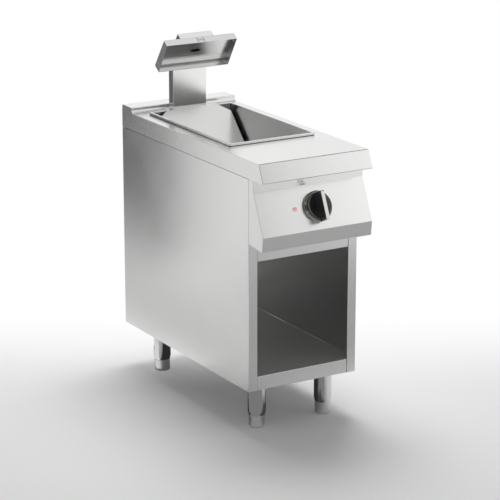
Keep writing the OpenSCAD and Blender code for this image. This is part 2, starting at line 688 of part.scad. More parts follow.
// Sensor of the thermostat, clipped to the basin's front wall
bulb_r = 3;
bulb_z = basin_low_z + 60;
bulb_y = basin_front - basin_t - bulb_r - seat;
bulb_x0 = -60;
bulb_x1 = 30;
bulb_clip_in = 20;
bulb_clip_w = 8;
bulb_clip_h = 14;
bulb_clip_t = 1.5;
capillary_r = 1;
module thermostat_bulb() color([0.72, 0.45, 0.2]) rig() {
    translate([bulb_x0, bulb_y, bulb_z]) rotate([0, 90, 0]) cylinder(h = bulb_x1 - bulb_x0, r = bulb_r);
    for (x = [bulb_x0 + bulb_clip_in, bulb_x1 - bulb_clip_in]) difference() {
        block([x - bulb_clip_w / 2, bulb_y - bulb_r - bulb_clip_t, bulb_z - bulb_clip_h / 2],
            [x + bulb_clip_w / 2, basin_front - basin_t, bulb_z + bulb_clip_h / 2]);
        translate([x - bulb_clip_w, bulb_y, bulb_z]) rotate([0, 90, 0])
            cylinder(h = 2 * bulb_clip_w, r = bulb_r + turn_play);
    }
    tube([[bulb_x1 - 1, bulb_y, bulb_z], [bulb_x1 + bend_l, bulb_y, bulb_z],
        [bulb_x1 + bend_l, loom_mid_y, bulb_z - bend_l],
        behind_reg(reg_term, reg_term, bend_l), behind_reg(reg_term, reg_term, seat)], capillary_r);
}

// Control panel

// Distance of the regulator's terminals from its axis, both ways
reg_term = 13;
// A point off behind the regulator's rear face, dx right of its axis and ds up the slanted face
function behind_reg(dx, ds, off) = let (back = panel_t + reg_deep + off) [knob_x + dx,
    -panel_out + (knob_s + ds) * sin(slant_a) + back * cos(slant_a),
    slant_low_z + (knob_s + ds) * cos(slant_a) - back * sin(slant_a)];
shaft_hole_r = shaft_d / 2 + 1.5;
// Distance of the regulator's screws from its axis, their radius, and their flat heads
reg_screw = 14;
reg_screw_r = 2;
reg_head_r = 3.4;
reg_head = 0.8;
// Height of the plug's middle, its sinking, and the width and thickness of its inner flange
plug_z = band_z - 22;
plug_sink = 0.4;
plug_flange = 1.5;
plug_flange_t = 1.2;
module control_panel() color(steel) rig() difference() {
    across(-half_w, half_w, panel_pts);
    across(-half_w + panel_t, half_w - panel_t, inset(panel_pts, panel_t));
    block([-half_w + panel_t, -panel_t - past, panel_rear_z + panel_t],
        [half_w - panel_t, past, panel_top_z - panel_t]);
    on_slant(knob_x, knob_s) translate([0, 0, -panel_t - past])
        cylinder(h = panel_t + 2 * past, r = shaft_hole_r);
    on_slant(knob_x, knob_s) for (y = [-1, 1]) translate([0, y * reg_screw, -panel_t - past])
        cylinder(h = panel_t + 2 * past, r = reg_screw_r + screw_play);
    on_slant(-pilot_x, pilot_s) translate([0, 0, -panel_t - past])
        cylinder(h = panel_t + 2 * past, r = pilot_body_r + screw_play);
    translate([-plug_x, 0, plug_z]) oval_y(plug_l, plug_h, -strip_out - past, -strip_out + panel_t + past);
}
module panel_plug() color(black) rig() translate([-plug_x, 0, plug_z]) {
    inner_y = -strip_out + panel_t;
    oval_y(plug_l - 2 * screw_play, plug_h - 2 * screw_play, -strip_out + plug_sink,
        inner_y + plug_flange_t / 2);
    oval_y(plug_l + 2 * plug_flange, plug_h + 2 * plug_flange, inner_y, inner_y + plug_flange_t);
}
// Depth of the regulator's shaft bore behind its face
reg_bore = reg_deep - 6;
module regulator() color([0.85, 0.82, 0.72]) rig() on_slant(knob_x, knob_s) {
    difference() {
        translate([-reg_side / 2, -reg_side / 2, -panel_t - reg_deep]) cube([reg_side, reg_side, reg_deep]);
        translate([0, 0, -panel_t - reg_bore]) cylinder(h = reg_deep, r = shaft_d / 2 + turn_play);
    }
    for (y = [-1, 1]) translate([0, y * reg_screw, 0]) {
        translate([0, 0, -panel_t - past]) cylinder(h = panel_t + past, r = reg_screw_r);
        cylinder(h = reg_head, r = reg_head_r);
    }
}
shaft_low = seat - panel_t - reg_bore;
shaft_high = dish_h - dish_deep - 2;
module regulator_shaft() color("silver") rig() on_slant(knob_x, knob_s) translate([0, 0, shaft_low])
    cylinder(h = shaft_high - shaft_low, r = shaft_d / 2);

// Knob: metal ring, black dished body with a grip bar, and a light strip
body_r = ring_r - ring_wall;
body_gap = knob_gap + 2;
bar_tip = bar_l / 2 + bar_low;
rim_flat = 3;
rim_ease = 1.5;
strip_in = 0.6;
dish_pts = [for (i = [0 : 8]) [(body_r - rim_flat) * i / 8, dish_h - dish_deep * cos(90 * i / 8)]];
module knob_ring() color([0.42, 0.38, 0.33]) rig() on_slant(knob_x, knob_s) rotate_extrude($fn = 96)
    polygon([[body_r + turn_play, knob_gap], [ring_r, knob_gap], [ring_r, ring_h - ring_chamfer],
        [ring_r - ring_chamfer, ring_h], [body_r + turn_play, ring_h]]);
module knob_body() color(black) rig() on_slant(knob_x, knob_s) difference() {
    union() {
        rotate_extrude($fn = 96) polygon(concat([[0, body_gap], [body_r, body_gap],
            [body_r, dish_h - rim_ease], [body_r - rim_ease, dish_h]], backwards(dish_pts)));
        translate([-bar_w / 2, -body_r + rim_ease, dish_h - dish_deep - past])
            cube([bar_w, 2 * body_r - 2 * rim_ease, bar_h - dish_h + dish_deep + past]);
        translate([-bar_w / 2, -bar_tip, ring_h + seat]) cube([bar_w, bar_l, bar_h - ring_h - seat]);
    }
    cylinder(h = shaft_high + seat, r = shaft_d / 2 + turn_play);
}
module knob_strip() color("silver") rig() on_slant(knob_x, knob_s)
    translate([-bar_w / 2 + strip_in, -bar_tip, bar_h]) cube([bar_w - 2 * strip_in, bar_l, strip_t]);

// Pilot light: flange of the lens, then length, nut and terminals of the body
lens_flange = 2;
pilot_deep = 22;
pilot_nut = 3;
pilot_pin_x = 2.5;
pilot_pin = [0.8, 3, 8.5];
module pilot_lens() color([0.95, 0.35, 0.35]) rig() on_slant(-pilot_x, pilot_s) {
    cylinder(h = lens_flange, r = pilot_r);
    translate([0, 0, lens_flange]) intersection() {
        translate([0, 0, -pilot_r * 0.6]) sphere(r = pilot_r * 1.15);
        cylinder(h = pilot_r, r = pilot_r - 0.8);
    }
}
module pilot_body() color(black) rig() on_slant(-pilot_x, pilot_s) {
    translate([0, 0, -panel_t - pilot_deep]) cylinder(h = panel_t + pilot_deep, r = pilot_body_r);
    translate([0, 0, -panel_t - pilot_nut]) cylinder(h = pilot_nut, r = pilot_body_r + pilot_nut, $fn = 6);
    for (x = [-pilot_pin_x, pilot_pin_x])
        translate([x - pilot_pin[0] / 2, -pilot_pin[1] / 2, past / 2 - panel_t - pilot_deep - pilot_pin[2]])
            cube(pilot_pin);
}

// Mains terminals on the compartment ceiling, gland and grommet
term_x = 30;
term_y = gland_y;
term_pitch = 13;
term_w = 72;
term_d = 24;
term_h = 26;
term_hole_z = ceiling_z + skin + 8;
wire_r = 2.2;
wire_in = 5;
wire_rise = 40;
bend_l = 25;
loom_x = wall_x + 16;
// Place midway between the element's pins and the regulator
loom_mid_y = (pin_y + behind_reg(0, 0, 0)[1]) / 2;
module terminal_block() color([0.85, 0.85, 0.8]) rig() difference() {
    block([term_x - term_w / 2, term_y - term_d / 2, ceiling_z + skin],
        [term_x + term_w / 2, term_y + term_d / 2, ceiling_z + skin + term_h]);
    for (i = [-2 : 2]) translate([term_x + term_pitch * i, term_y, 0]) {
        translate([0, 0, term_hole_z + 4]) cylinder(h = term_h, r = 4);
        translate([0, -term_d / 2 - past, term_hole_z]) rotate([-90, 0, 0])
            cylinder(h = term_d + 2 * past, r = wire_r + seat);
    }
}
gland_nut = 6;
gland_hex_r = 15;
gland_dome = 14;
gland_stub = 4;
module cable_gland() color(black) rig() translate([gland_x, gland_y, ceiling_z]) difference() {
    union() {
        translate([0, 0, -gland_nut]) cylinder(h = gland_nut, r = gland_hex_r, $fn = 6);
        translate([0, 0, -gland_nut]) cylinder(h = 2 * gland_nut + skin + gland_stub, r = gland_r);
        translate([0, 0, -gland_nut - gland_dome]) cylinder(h = gland_dome, r1 = gland_r, r2 = gland_r + 3);
        translate([0, 0, skin]) cylinder(h = gland_nut, r = gland_hex_r, $fn = 6);
    }
    translate([0, 0, -gland_nut - gland_dome - past])
        cylinder(h = 2 * gland_nut + gland_dome + skin + gland_stub + 2 * past, r = gland_bore_r);
}
// Grommet: bore radius, and the width and thickness of its two lips
grommet_bore_r = 13;
grommet_lip = 2;
module cable_grommet() color(black) rig() translate([grommet_x, back_y, grommet_z]) rotate([-90, 0, 0])
    rotate_extrude() {
        lip_r = grommet_r + grommet_lip;
        in_r = grommet_r - turn_play;
        polygon([[grommet_bore_r, -grommet_lip], [lip_r, -grommet_lip], [lip_r, 0], [in_r, 0], [in_r, skin],
            [lip_r, skin], [lip_r, skin + grommet_lip], [grommet_bore_r, skin + grommet_lip]]);
    }
// Wires from the terminals and from the element's two ends to the regulator
module supply_wiring() color([0.2, 0.2, 0.22]) rig() {
    wire_x = term_x - 2 * term_pitch;
    tube([[wire_x, term_y - term_d / 2 + wire_in, term_hole_z], [wire_x, term_y - wire_rise, term_hole_z],
        [-loom_x, term_y - 2 * wire_rise, term_hole_z], [-loom_x, term_y - 3 * wire_rise, element_z],
        [-loom_x, loom_mid_y, element_z],
        behind_reg(-reg_term, reg_term, wire_rise), behind_reg(-reg_term, reg_term, seat)], wire_r);
    for (side = [-1, 1]) tube([[side * pin_x, pin_y - seat, element_z],
        [side * pin_x, pin_y - bend_l, element_z], [side * pin_x / 2, loom_mid_y, element_z + bend_l],
        behind_reg(side * reg_term, -reg_term, wire_rise), behind_reg(side * reg_term, -reg_term, seat)],
        wire_r);
}

// Lamp post

post_inner = inset(post_pts, post_t);
rear_edge = [[post_rear_y, top_z], bend_rear, arm_top_rear];
cover_pts = folded(rear_edge, cover_t);
cut_edge = [[post_rear_y, top_z - past], bend_rear, arm_top_rear + past * arm_u];
cover_cut = concat(beside(cut_edge, -past), backwards(beside(cut_edge, cover_t)));
slot_z = hood_mid;
hood_screw_x = 46;
hood_screw_in = 24;
hood_screw_zs = [hood_rise + hood_screw_in, hood_rise + hood_h - hood_screw_in];
hood_screw_r = 2;
hood_head_r = 3.6;
hood_head = 2;
hood_screw_reach = hood_t + post_t + 5;
module arm_holes() on_arm() {
    translate([0, 0, slot_z]) oval_y(slot_l, slot_h, -past, post_t + past);
    for (x = [-hood_screw_x, hood_screw_x], z = hood_screw_zs) translate([x, -past, z])
        rotate([-90, 0, 0]) cylinder(h = post_t + 2 * past, r = hood_screw_r + screw_play);
}
module lamp_post() color(steel) rig() difference() {
    across(-post_w / 2, post_w / 2, post_pts);
    across(-post_w / 2 + post_t, post_w / 2 - post_t, [[post_y + post_t, top_z - past],
        [post_rear_y, top_z - past], bend_rear, arm_top_rear - post_t * arm_u, post_inner[4], post_inner[5]]);
    across(-post_w / 2 - past, post_w / 2 + past, cover_cut);
    arm_holes();
}
module post_cover() color(steel) rig() across(-post_w / 2, post_w / 2, cover_pts);
// Post foot: thickness of its plate and of its leg, and height of the leg
foot_plate_t = 4;
post_leg_t = 2;
post_leg_h = 30;
module post_foot() color(dark_steel) rig() difference() {
    union() {
        block([-post_w / 2 + post_t, post_y + post_t, top_z],
            [post_w / 2 - post_t, post_rear_y - cover_t, top_z + foot_plate_t]);
        block([-post_w / 2 + post_t, post_y + post_t, top_z],
            [post_w / 2 - post_t, post_y + post_t + post_leg_t, top_z + post_leg_h]);
    }
    post_holes(top_z - past, top_z + foot_plate_t + past);
}
backing_t = 4;
backing_out = 10;
post_nut_r = 7.5;
post_nut = 6;
post_thread = 3;
module post_backing_plate() color(dark_steel) rig() difference() {
    block([-post_w / 2 - backing_out, basin_rear + basin_t + cut_play + 2, top_z - top_t - backing_t],
        [post_w / 2 + backing_out, post_rear_y, top_z - top_t]);
    post_holes(top_z - top_t - backing_t - past, top_z);
}
module post_bolts() color(dark_steel) rig() for (x = [-post_bolt_x, post_bolt_x])
    translate([x, post_bolt_y, top_z]) {
        low = -top_t - backing_t - post_nut;
        translate([0, 0, foot_plate_t]) cylinder(h = post_nut, r = post_nut_r, $fn = 6);
        translate([0, 0, low]) cylinder(h = post_nut, r = post_nut_r, $fn = 6);
        translate([0, 0, low - post_thread])
            cylinder(h = foot_plate_t - low + 2 * post_thread, r = post_bolt_r);
    }
module lamp_cable() color([0.2, 0.2, 0.22]) rig() {
    slot_point = bend_front + hood_mid * arm_u;
    arm_back = slot_point + arm_d / 2 * arm_n;
    cable_end = slot_point - (hood_t + 1) * arm_n;
    tube([[term_x, term_y - term_d / 2 + wire_in, term_hole_z], [term_x, term_y - wire_rise, term_hole_z],
        [term_x, term_y - wire_rise, top_z - 2 * wire_rise], [0, post_bolt_y, top_z - wire_rise],
        [0, post_bolt_y, bend_z],
        [0, arm_back[0], arm_back[1]], [0, cable_end[0], cable_end[1]]], wire_r);
}

// Hood

hood_x = hood_w / 2;
hood_pts = [[-hood_d_low, hood_rise], [0, hood_rise], [0, hood_rise + hood_h],
    [-hood_d_high, hood_rise + hood_h]];
hood_in = inset(hood_pts, hood_t);
rivet_r = 2;
rivet_in = 22;
rivet_back = 14;
rivet_head = 1;
rivet_spots = [[-rivet_back, hood_rise + rivet_in], [-rivet_back, hood_rise + hood_h - rivet_in]];
module lamp_hood() color(steel) rig() on_arm() difference() {
    across(-hood_x, hood_x, hood_pts);
    across(-hood_x + hood_t, hood_x - hood_t, [hood_in[1], hood_in[2], hood_in[3] + [-3 * past, 0],
        [-hood_d_low - past, hood_in[0][1]]]);
    translate([0, 0, slot_z]) oval_y(slot_l, slot_h, -hood_t - past, past);
    for (x = [-hood_screw_x, hood_screw_x], z = hood_screw_zs) translate([x, -hood_t - past, z])
        rotate([-90, 0, 0]) cylinder(h = hood_t + 2 * past, r = hood_screw_r + screw_play);
    mirror_x() for (p = rivet_spots) translate([hood_x - hood_t - past, p[0], p[1]]) rotate([0, 90, 0])
        cylinder(h = hood_t + 2 * past, r = rivet_r + screw_play);
}
liner_low = hood_rise + hood_t + liner_drop;
liner_high = hood_rise + hood_h - hood_t - seat;
liner_y = -hood_t - liner_gap;
module hood_liner() color(steel) rig() on_arm() difference() {
    across(-hood_x + hood_t + seat, hood_x - hood_t - seat, folded([[-hood_t, liner_high],
        [liner_y - 1, liner_high], [liner_y - 1, liner_low], [-hood_t, liner_low]], 1));
    translate([0, 0, slot_z]) oval_y(slot_l, slot_h, liner_y - 1 - past, liner_y + past);
}
heater_w = 220;
heater_h = 76;
heater_t = 1.4;
module radiant_heater() color([0.7, 0.55, 0.3]) rig() on_arm() difference() {
    block([-heater_w / 2, liner_y, slot_z - heater_h / 2],
        [heater_w / 2, liner_y + heater_t, slot_z + heater_h / 2]);
    translate([0, 0, slot_z]) oval_y(slot_l, slot_h, liner_y - past, liner_y + heater_t + past);
}
module hood_screws() color(dark_steel) rig() on_arm()
    for (x = [-hood_screw_x, hood_screw_x], z = hood_screw_zs) translate([x, -hood_t, z])
        rotate([90, 0, 0]) pan_screw(hood_screw_r, hood_head_r, hood_head, hood_screw_reach);
module hood_rivets() color(dark_steel) rig() on_arm() mirror_x()
    for (p = rivet_spots) translate([hood_x - hood_t, p[0], p[1]]) rotate([0, 90, 0]) {
        translate([0, 0, -rivet_head]) cylinder(h = rivet_head, r = 2 * rivet_r);
        cylinder(h = hood_t, r = rivet_r);
    }
// Clip on the hood: overall width and depth, width and height of its bars, and its stud
clip_w = 26;
clip_d = 20;
clip_bar = 6;
clip_bar_h = 1.5;
clip_end = 3;
clip_end_h = 2.5;
clip_stud_r = 2.6;
clip_stud_h = 3;
module hood_clip() color(steel) rig() on_arm() translate([0, -hood_d_high / 2, hood_rise + hood_h]) {
    block([-clip_w / 2, -clip_bar / 2, 0], [clip_w / 2, clip_bar / 2, clip_bar_h]);
    mirror_x() block([clip_w / 2 - clip_end, -clip_d / 2, 0], [clip_w / 2, clip_d / 2, clip_end_h]);
    cylinder(h = clip_stud_h, r = clip_stud_r);
}

// Feet

// Sleeve: thickness of its cap, length of its inner boss, and the neck and taper at its lower end
cap_t = 3;
boss_l = 24;
neck_h = 5;
neck_in = 2.2;
sleeve_taper = 4;
module foot_sleeve(k) color(steel) rig() translate([foot_spots[k][0], foot_spots[k][1], 0]) {
    bore = stem_r + turn_play;
    cup = sleeve_r - sleeve_wall;
    rotate_extrude() polygon([[cup, foot_show], [sleeve_r - neck_in, foot_show],
        [sleeve_r - neck_in, foot_show + neck_h], [sleeve_r, foot_show + neck_h + sleeve_taper],
        [sleeve_r, foot_h], [spigot_r, foot_h], [spigot_r, spigot_top_z], [bore, spigot_top_z],
        [bore, foot_h - cap_t - boss_l],
        [spigot_r, foot_h - cap_t - boss_l], [spigot_r, foot_h - cap_t], [cup, foot_h - cap_t]]);
}
// Adjustable foot: rounding of its sole, its wall, and the thickness of its base
foot_round = 4;
foot_wall = 3;
foot_base = 14;
module adjustable_foot(k) color(dark_steel) rig() translate([foot_spots[k][0], foot_spots[k][1], 0]) {
    hold_z = foot_show + foot_hold;
    cup_r = foot_r - foot_wall;
    rotate_extrude() polygon(concat([[0, 0]], arc([foot_r - foot_round, foot_round], foot_round, -90, 0, 5),
        [[foot_r, hold_z], [cup_r, hold_z], [cup_r, foot_base], [stem_r, foot_base], [stem_r, stem_top_z],
         [0, stem_top_z]]));
}
module foot_sleeve_front_left() foot_sleeve(0);
module foot_sleeve_front_right() foot_sleeve(1);
module foot_sleeve_rear_left() foot_sleeve(2);
module foot_sleeve_rear_right() foot_sleeve(3);
module foot_front_left() adjustable_foot(0);
module foot_front_right() adjustable_foot(1);
module foot_rear_left() adjustable_foot(2);
module foot_rear_right() adjustable_foot(3);
module foot_ring_nuts() color(dark_steel) rig() for (p = foot_spots)
    translate([p[0], p[1], foot_h + channel_t]) difference() {
        cylinder(h = ring_nut_h, r = spigot_r + 6, $fn = 6);
        translate([0, 0, -past]) cylinder(h = ring_nut_h + 2 * past, r = spigot_r + turn_play);
    }

left_side_panel();
right_side_panel();
back_panel();
bottom_shelf();
front_base_channel();
rear_base_channel();
head_rail();
rear_top_rail();
compartment_ceiling();
worktop();
left_worktop_bearer();
right_worktop_bearer();
basin();
basin_gasket();
basin_brackets();
slide_plate();
false_bottom();
heating_element();
element_clamps();
insulation_board();
insulation_tray();
control_panel();
regulator();
regulator_shaft();
thermostat_bulb();
knob_body();
knob_ring();
knob_strip();
pilot_lens();
pilot_body();
panel_plug();
terminal_block();
cable_gland();
cable_grommet();
bonding_stud();
lamp_post();
post_cover();
post_foot();
post_backing_plate();
post_bolts();
lamp_hood();
hood_liner();
radiant_heater();
hood_clip();
hood_screws();
hood_rivets();
lamp_cable();
supply_wiring();
back_panel_screws();
foot_ring_nuts();
foot_sleeve_front_left();
foot_sleeve_front_right();
foot_sleeve_rear_left();
foot_sleeve_rear_right();
foot_front_left();
foot_front_right();
foot_rear_left();
foot_rear_right();
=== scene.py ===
"""Looks of an electric fry warmer on an open cabinet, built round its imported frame.

Outlines are drawn in millimetres, with X to the right from the middle plane, Y to the rear
from the cabinet's front face and Z up from the floor. Each finished piece is put into the
frame, in metres, and rides on the body that carries it.
"""
import logging
import math
from collections.abc import Callable, Iterable
from dataclasses import dataclass, field
from enum import Enum

import bmesh
import bpy
from mathutils import Matrix, Vector


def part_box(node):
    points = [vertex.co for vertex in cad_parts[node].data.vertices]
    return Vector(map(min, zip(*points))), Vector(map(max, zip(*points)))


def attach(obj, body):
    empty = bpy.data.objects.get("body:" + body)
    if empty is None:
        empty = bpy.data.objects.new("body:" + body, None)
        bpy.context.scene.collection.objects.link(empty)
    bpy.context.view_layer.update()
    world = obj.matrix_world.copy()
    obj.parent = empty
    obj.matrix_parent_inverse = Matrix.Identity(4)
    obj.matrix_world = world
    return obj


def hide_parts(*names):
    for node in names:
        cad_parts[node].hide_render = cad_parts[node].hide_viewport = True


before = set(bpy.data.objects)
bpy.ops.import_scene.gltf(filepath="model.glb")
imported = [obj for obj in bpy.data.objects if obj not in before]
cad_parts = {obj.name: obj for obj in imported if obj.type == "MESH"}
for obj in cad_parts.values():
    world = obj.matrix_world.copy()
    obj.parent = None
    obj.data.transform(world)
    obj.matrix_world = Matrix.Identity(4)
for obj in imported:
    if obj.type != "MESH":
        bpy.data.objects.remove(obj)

LOG = logging.getLogger("fry_warmer")

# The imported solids' box, before any piece takes their place.
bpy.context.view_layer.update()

MM = 0.001
FRONT_FACE_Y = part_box("left_side_panel")[0].y
TO_FRAME = Matrix.Translation((0, FRONT_FACE_Y, 0)) @ Matrix.Scale(MM, 4)

# Lengths, in millimetres, and angles, in radians, below this count as zero.
TINY = 1e-4
# Faces that meet at less than this angle after a cut become one.
FLAT = math.radians(0.05)
# Edges that are sharper than these get a chamfer, and keep their crease in the shading.
CHAMFERED = math.radians(38)
CREASED = math.radians(40)
# How strongly the shading follows the larger faces.
NORMAL_WEIGHT = 80

Point = tuple[float, float]
Triple = tuple[float, float, float]
Outline = list[Point]


# Outlines


def unit(v: Vector) -> Vector:
    """Return a vector of length one along v."""
    return v / v.length


def left_of(v: Vector) -> Vector:
    """Return the 2-D vector a quarter turn to the left of v."""
    return Vector((-v.y, v.x))


def eased_corner(before: Point, corner: Point, after: Point, radius: float,
                 steps: int = 6) -> Outline:
    """Replace one corner by an arc.

    Args:
        before: Point that comes before the corner.
        corner: The sharp corner.
        after: Point that comes after the corner.
        radius: Radius of the arc; zero keeps the corner.
        steps: Number of straight pieces in the arc.

    Returns:
        The points of the arc, or the corner itself.
    """
    a = unit(Vector(corner) - Vector(before))
    b = unit(Vector(after) - Vector(corner))
    turn = math.atan2(a.x * b.y - a.y * b.x, a.dot(b))
    if radius < TINY or abs(turn) < TINY:
        return [corner]
    side = math.copysign(1, turn)
    tangent = radius * math.tan(abs(turn) / 2)
    centre = Vector(corner) - tangent * a + side * radius * left_of(a)
    first = -side * left_of(a)
    points = []
    for i in range(steps + 1):
        angle = turn * i / steps
        c, s = math.cos(angle), math.sin(angle)
        turned = Vector((c * first.x - s * first.y, s * first.x + c * first.y))
        points.append(tuple(centre + radius * turned))
    return points


def rounded(points: Outline, radii: dict[int, float], steps: int = 6) -> Outline:
    """Round chosen corners of a closed outline.

    Args:
        points: Corners of the outline.
        radii: Radius for each corner, by its place in points; others stay sharp.
        steps: Number of straight pieces in each arc.

    Returns:
        The outline with arcs.
    """
    n = len(points)
    out: Outline = []
    for i, p in enumerate(points):
        out += eased_corner(points[i - 1], p, points[(i + 1) % n], radii.get(i, 0), steps)
    return out


def beside(path: Outline, distance: float) -> Outline:
    """Move an open path to its left, with mitred corners.

    Args:
        path: Points of the path.
        distance: How far it moves.

    Returns:
        The moved path.
    """
    out: Outline = []
    for i, p in enumerate(path):
        a = unit(Vector(p) - Vector(path[i - 1])) if i else unit(Vector(path[1]) - Vector(p))
        b = unit(Vector(path[i + 1]) - Vector(p)) if i < len(path) - 1 else a
        out.append(tuple(Vector(p) + distance * (left_of(a) + left_of(b)) / (1 + a.dot(b))))
    return out


def inset(points: Outline, distance: float) -> Outline:
    """Move a closed anticlockwise outline inwards.

    Args:
        points: Corners of the outline.
        distance: How far its sides move.

    Returns:
        The smaller outline, with as many corners.
    """
    out: Outline = []
    n = len(points)
    for i, p in enumerate(points):
        a = unit(Vector(p) - Vector(points[i - 1]))
        b = unit(Vector(points[(i + 1) % n]) - Vector(p))
        out.append(tuple(Vector(p) + distance * (left_of(a) + left_of(b)) / (1 + a.dot(b))))
    return out


def eased_path(path: Outline, radius: Callable[[float], float], steps: int) -> Outline:
    """Round the inner corners of an open path, with a radius that depends on the turn's sign.

    Args:
        path: Points of the path.
        radius: Radius for a turn, which is positive to the left.
        steps: Number of straight pieces in each arc.

    Returns:
        The path with arcs.
    """
    out: Outline = [path[0]]
    for before, corner, after in zip(path, path[1:], path[2:]):
        a, b = Vector(corner) - Vector(before), Vector(after) - Vector(corner)
        out += eased_corner(before, corner, after, radius(a.x * b.y - a.y * b.x), steps)
    return out + [path[-1]]


def bent_sheet(path: Outline, thickness: float, bend: float, steps: int = 6) -> Outline:
    """Outline of a sheet bent along a path.

    Args:
        path: One face of the sheet; the sheet's body lies to the left of it.
        thickness: Thickness of the sheet.
        bend: Outer radius of its bends.
        steps: Number of straight pieces in each bend.

    Returns:
        The closed outline.
    """
    tight = max(bend - thickness, bend / 4)
    face = eased_path(path, lambda turn: bend if turn > 0 else tight, steps)
    back = eased_path(beside(path, thickness), lambda turn: tight if turn > 0 else bend, steps)
    return face + back[::-1]


def arc(centre: Point, radius: float, start: float, end: float, steps: int = 8) -> Outline:
    """Points along an arc, with angles in degrees."""
    angles = [math.radians(start + (end - start) * i / steps) for i in range(steps + 1)]
    return [(centre[0] + radius * math.cos(a), centre[1] + radius * math.sin(a)) for a in angles]


def circle(centre: Point, radius: float, count: int = 24) -> Outline:
    """Points round a full circle."""
    return arc(centre, radius, 0, 360 - 360 / count, count - 1)


# Solids


class Axis(Enum):
    """Direction along which an outline is drawn out, and the order of its two coordinates."""

    X = (1, 2, 0)
    Y = (0, 2, 1)
    Z = (0, 1, 2)

    def point(self, p: Point, along: float) -> Triple:
        """Place an outline point in space.

        Args:
            p: Point of the outline.
            along: Its place along the axis.

        Returns:
            The point in space.
        """
        out = [0.0, 0.0, 0.0]
        out[self.value[0]], out[self.value[1]], out[self.value[2]] = p[0], p[1], along
        return tuple(out)


def evaluated(ob: bpy.types.Object) -> bpy.types.Mesh:
    """Return a new mesh of the object as its modifiers make it."""
    return bpy.data.meshes.new_from_object(
        ob.evaluated_get(bpy.context.evaluated_depsgraph_get()))


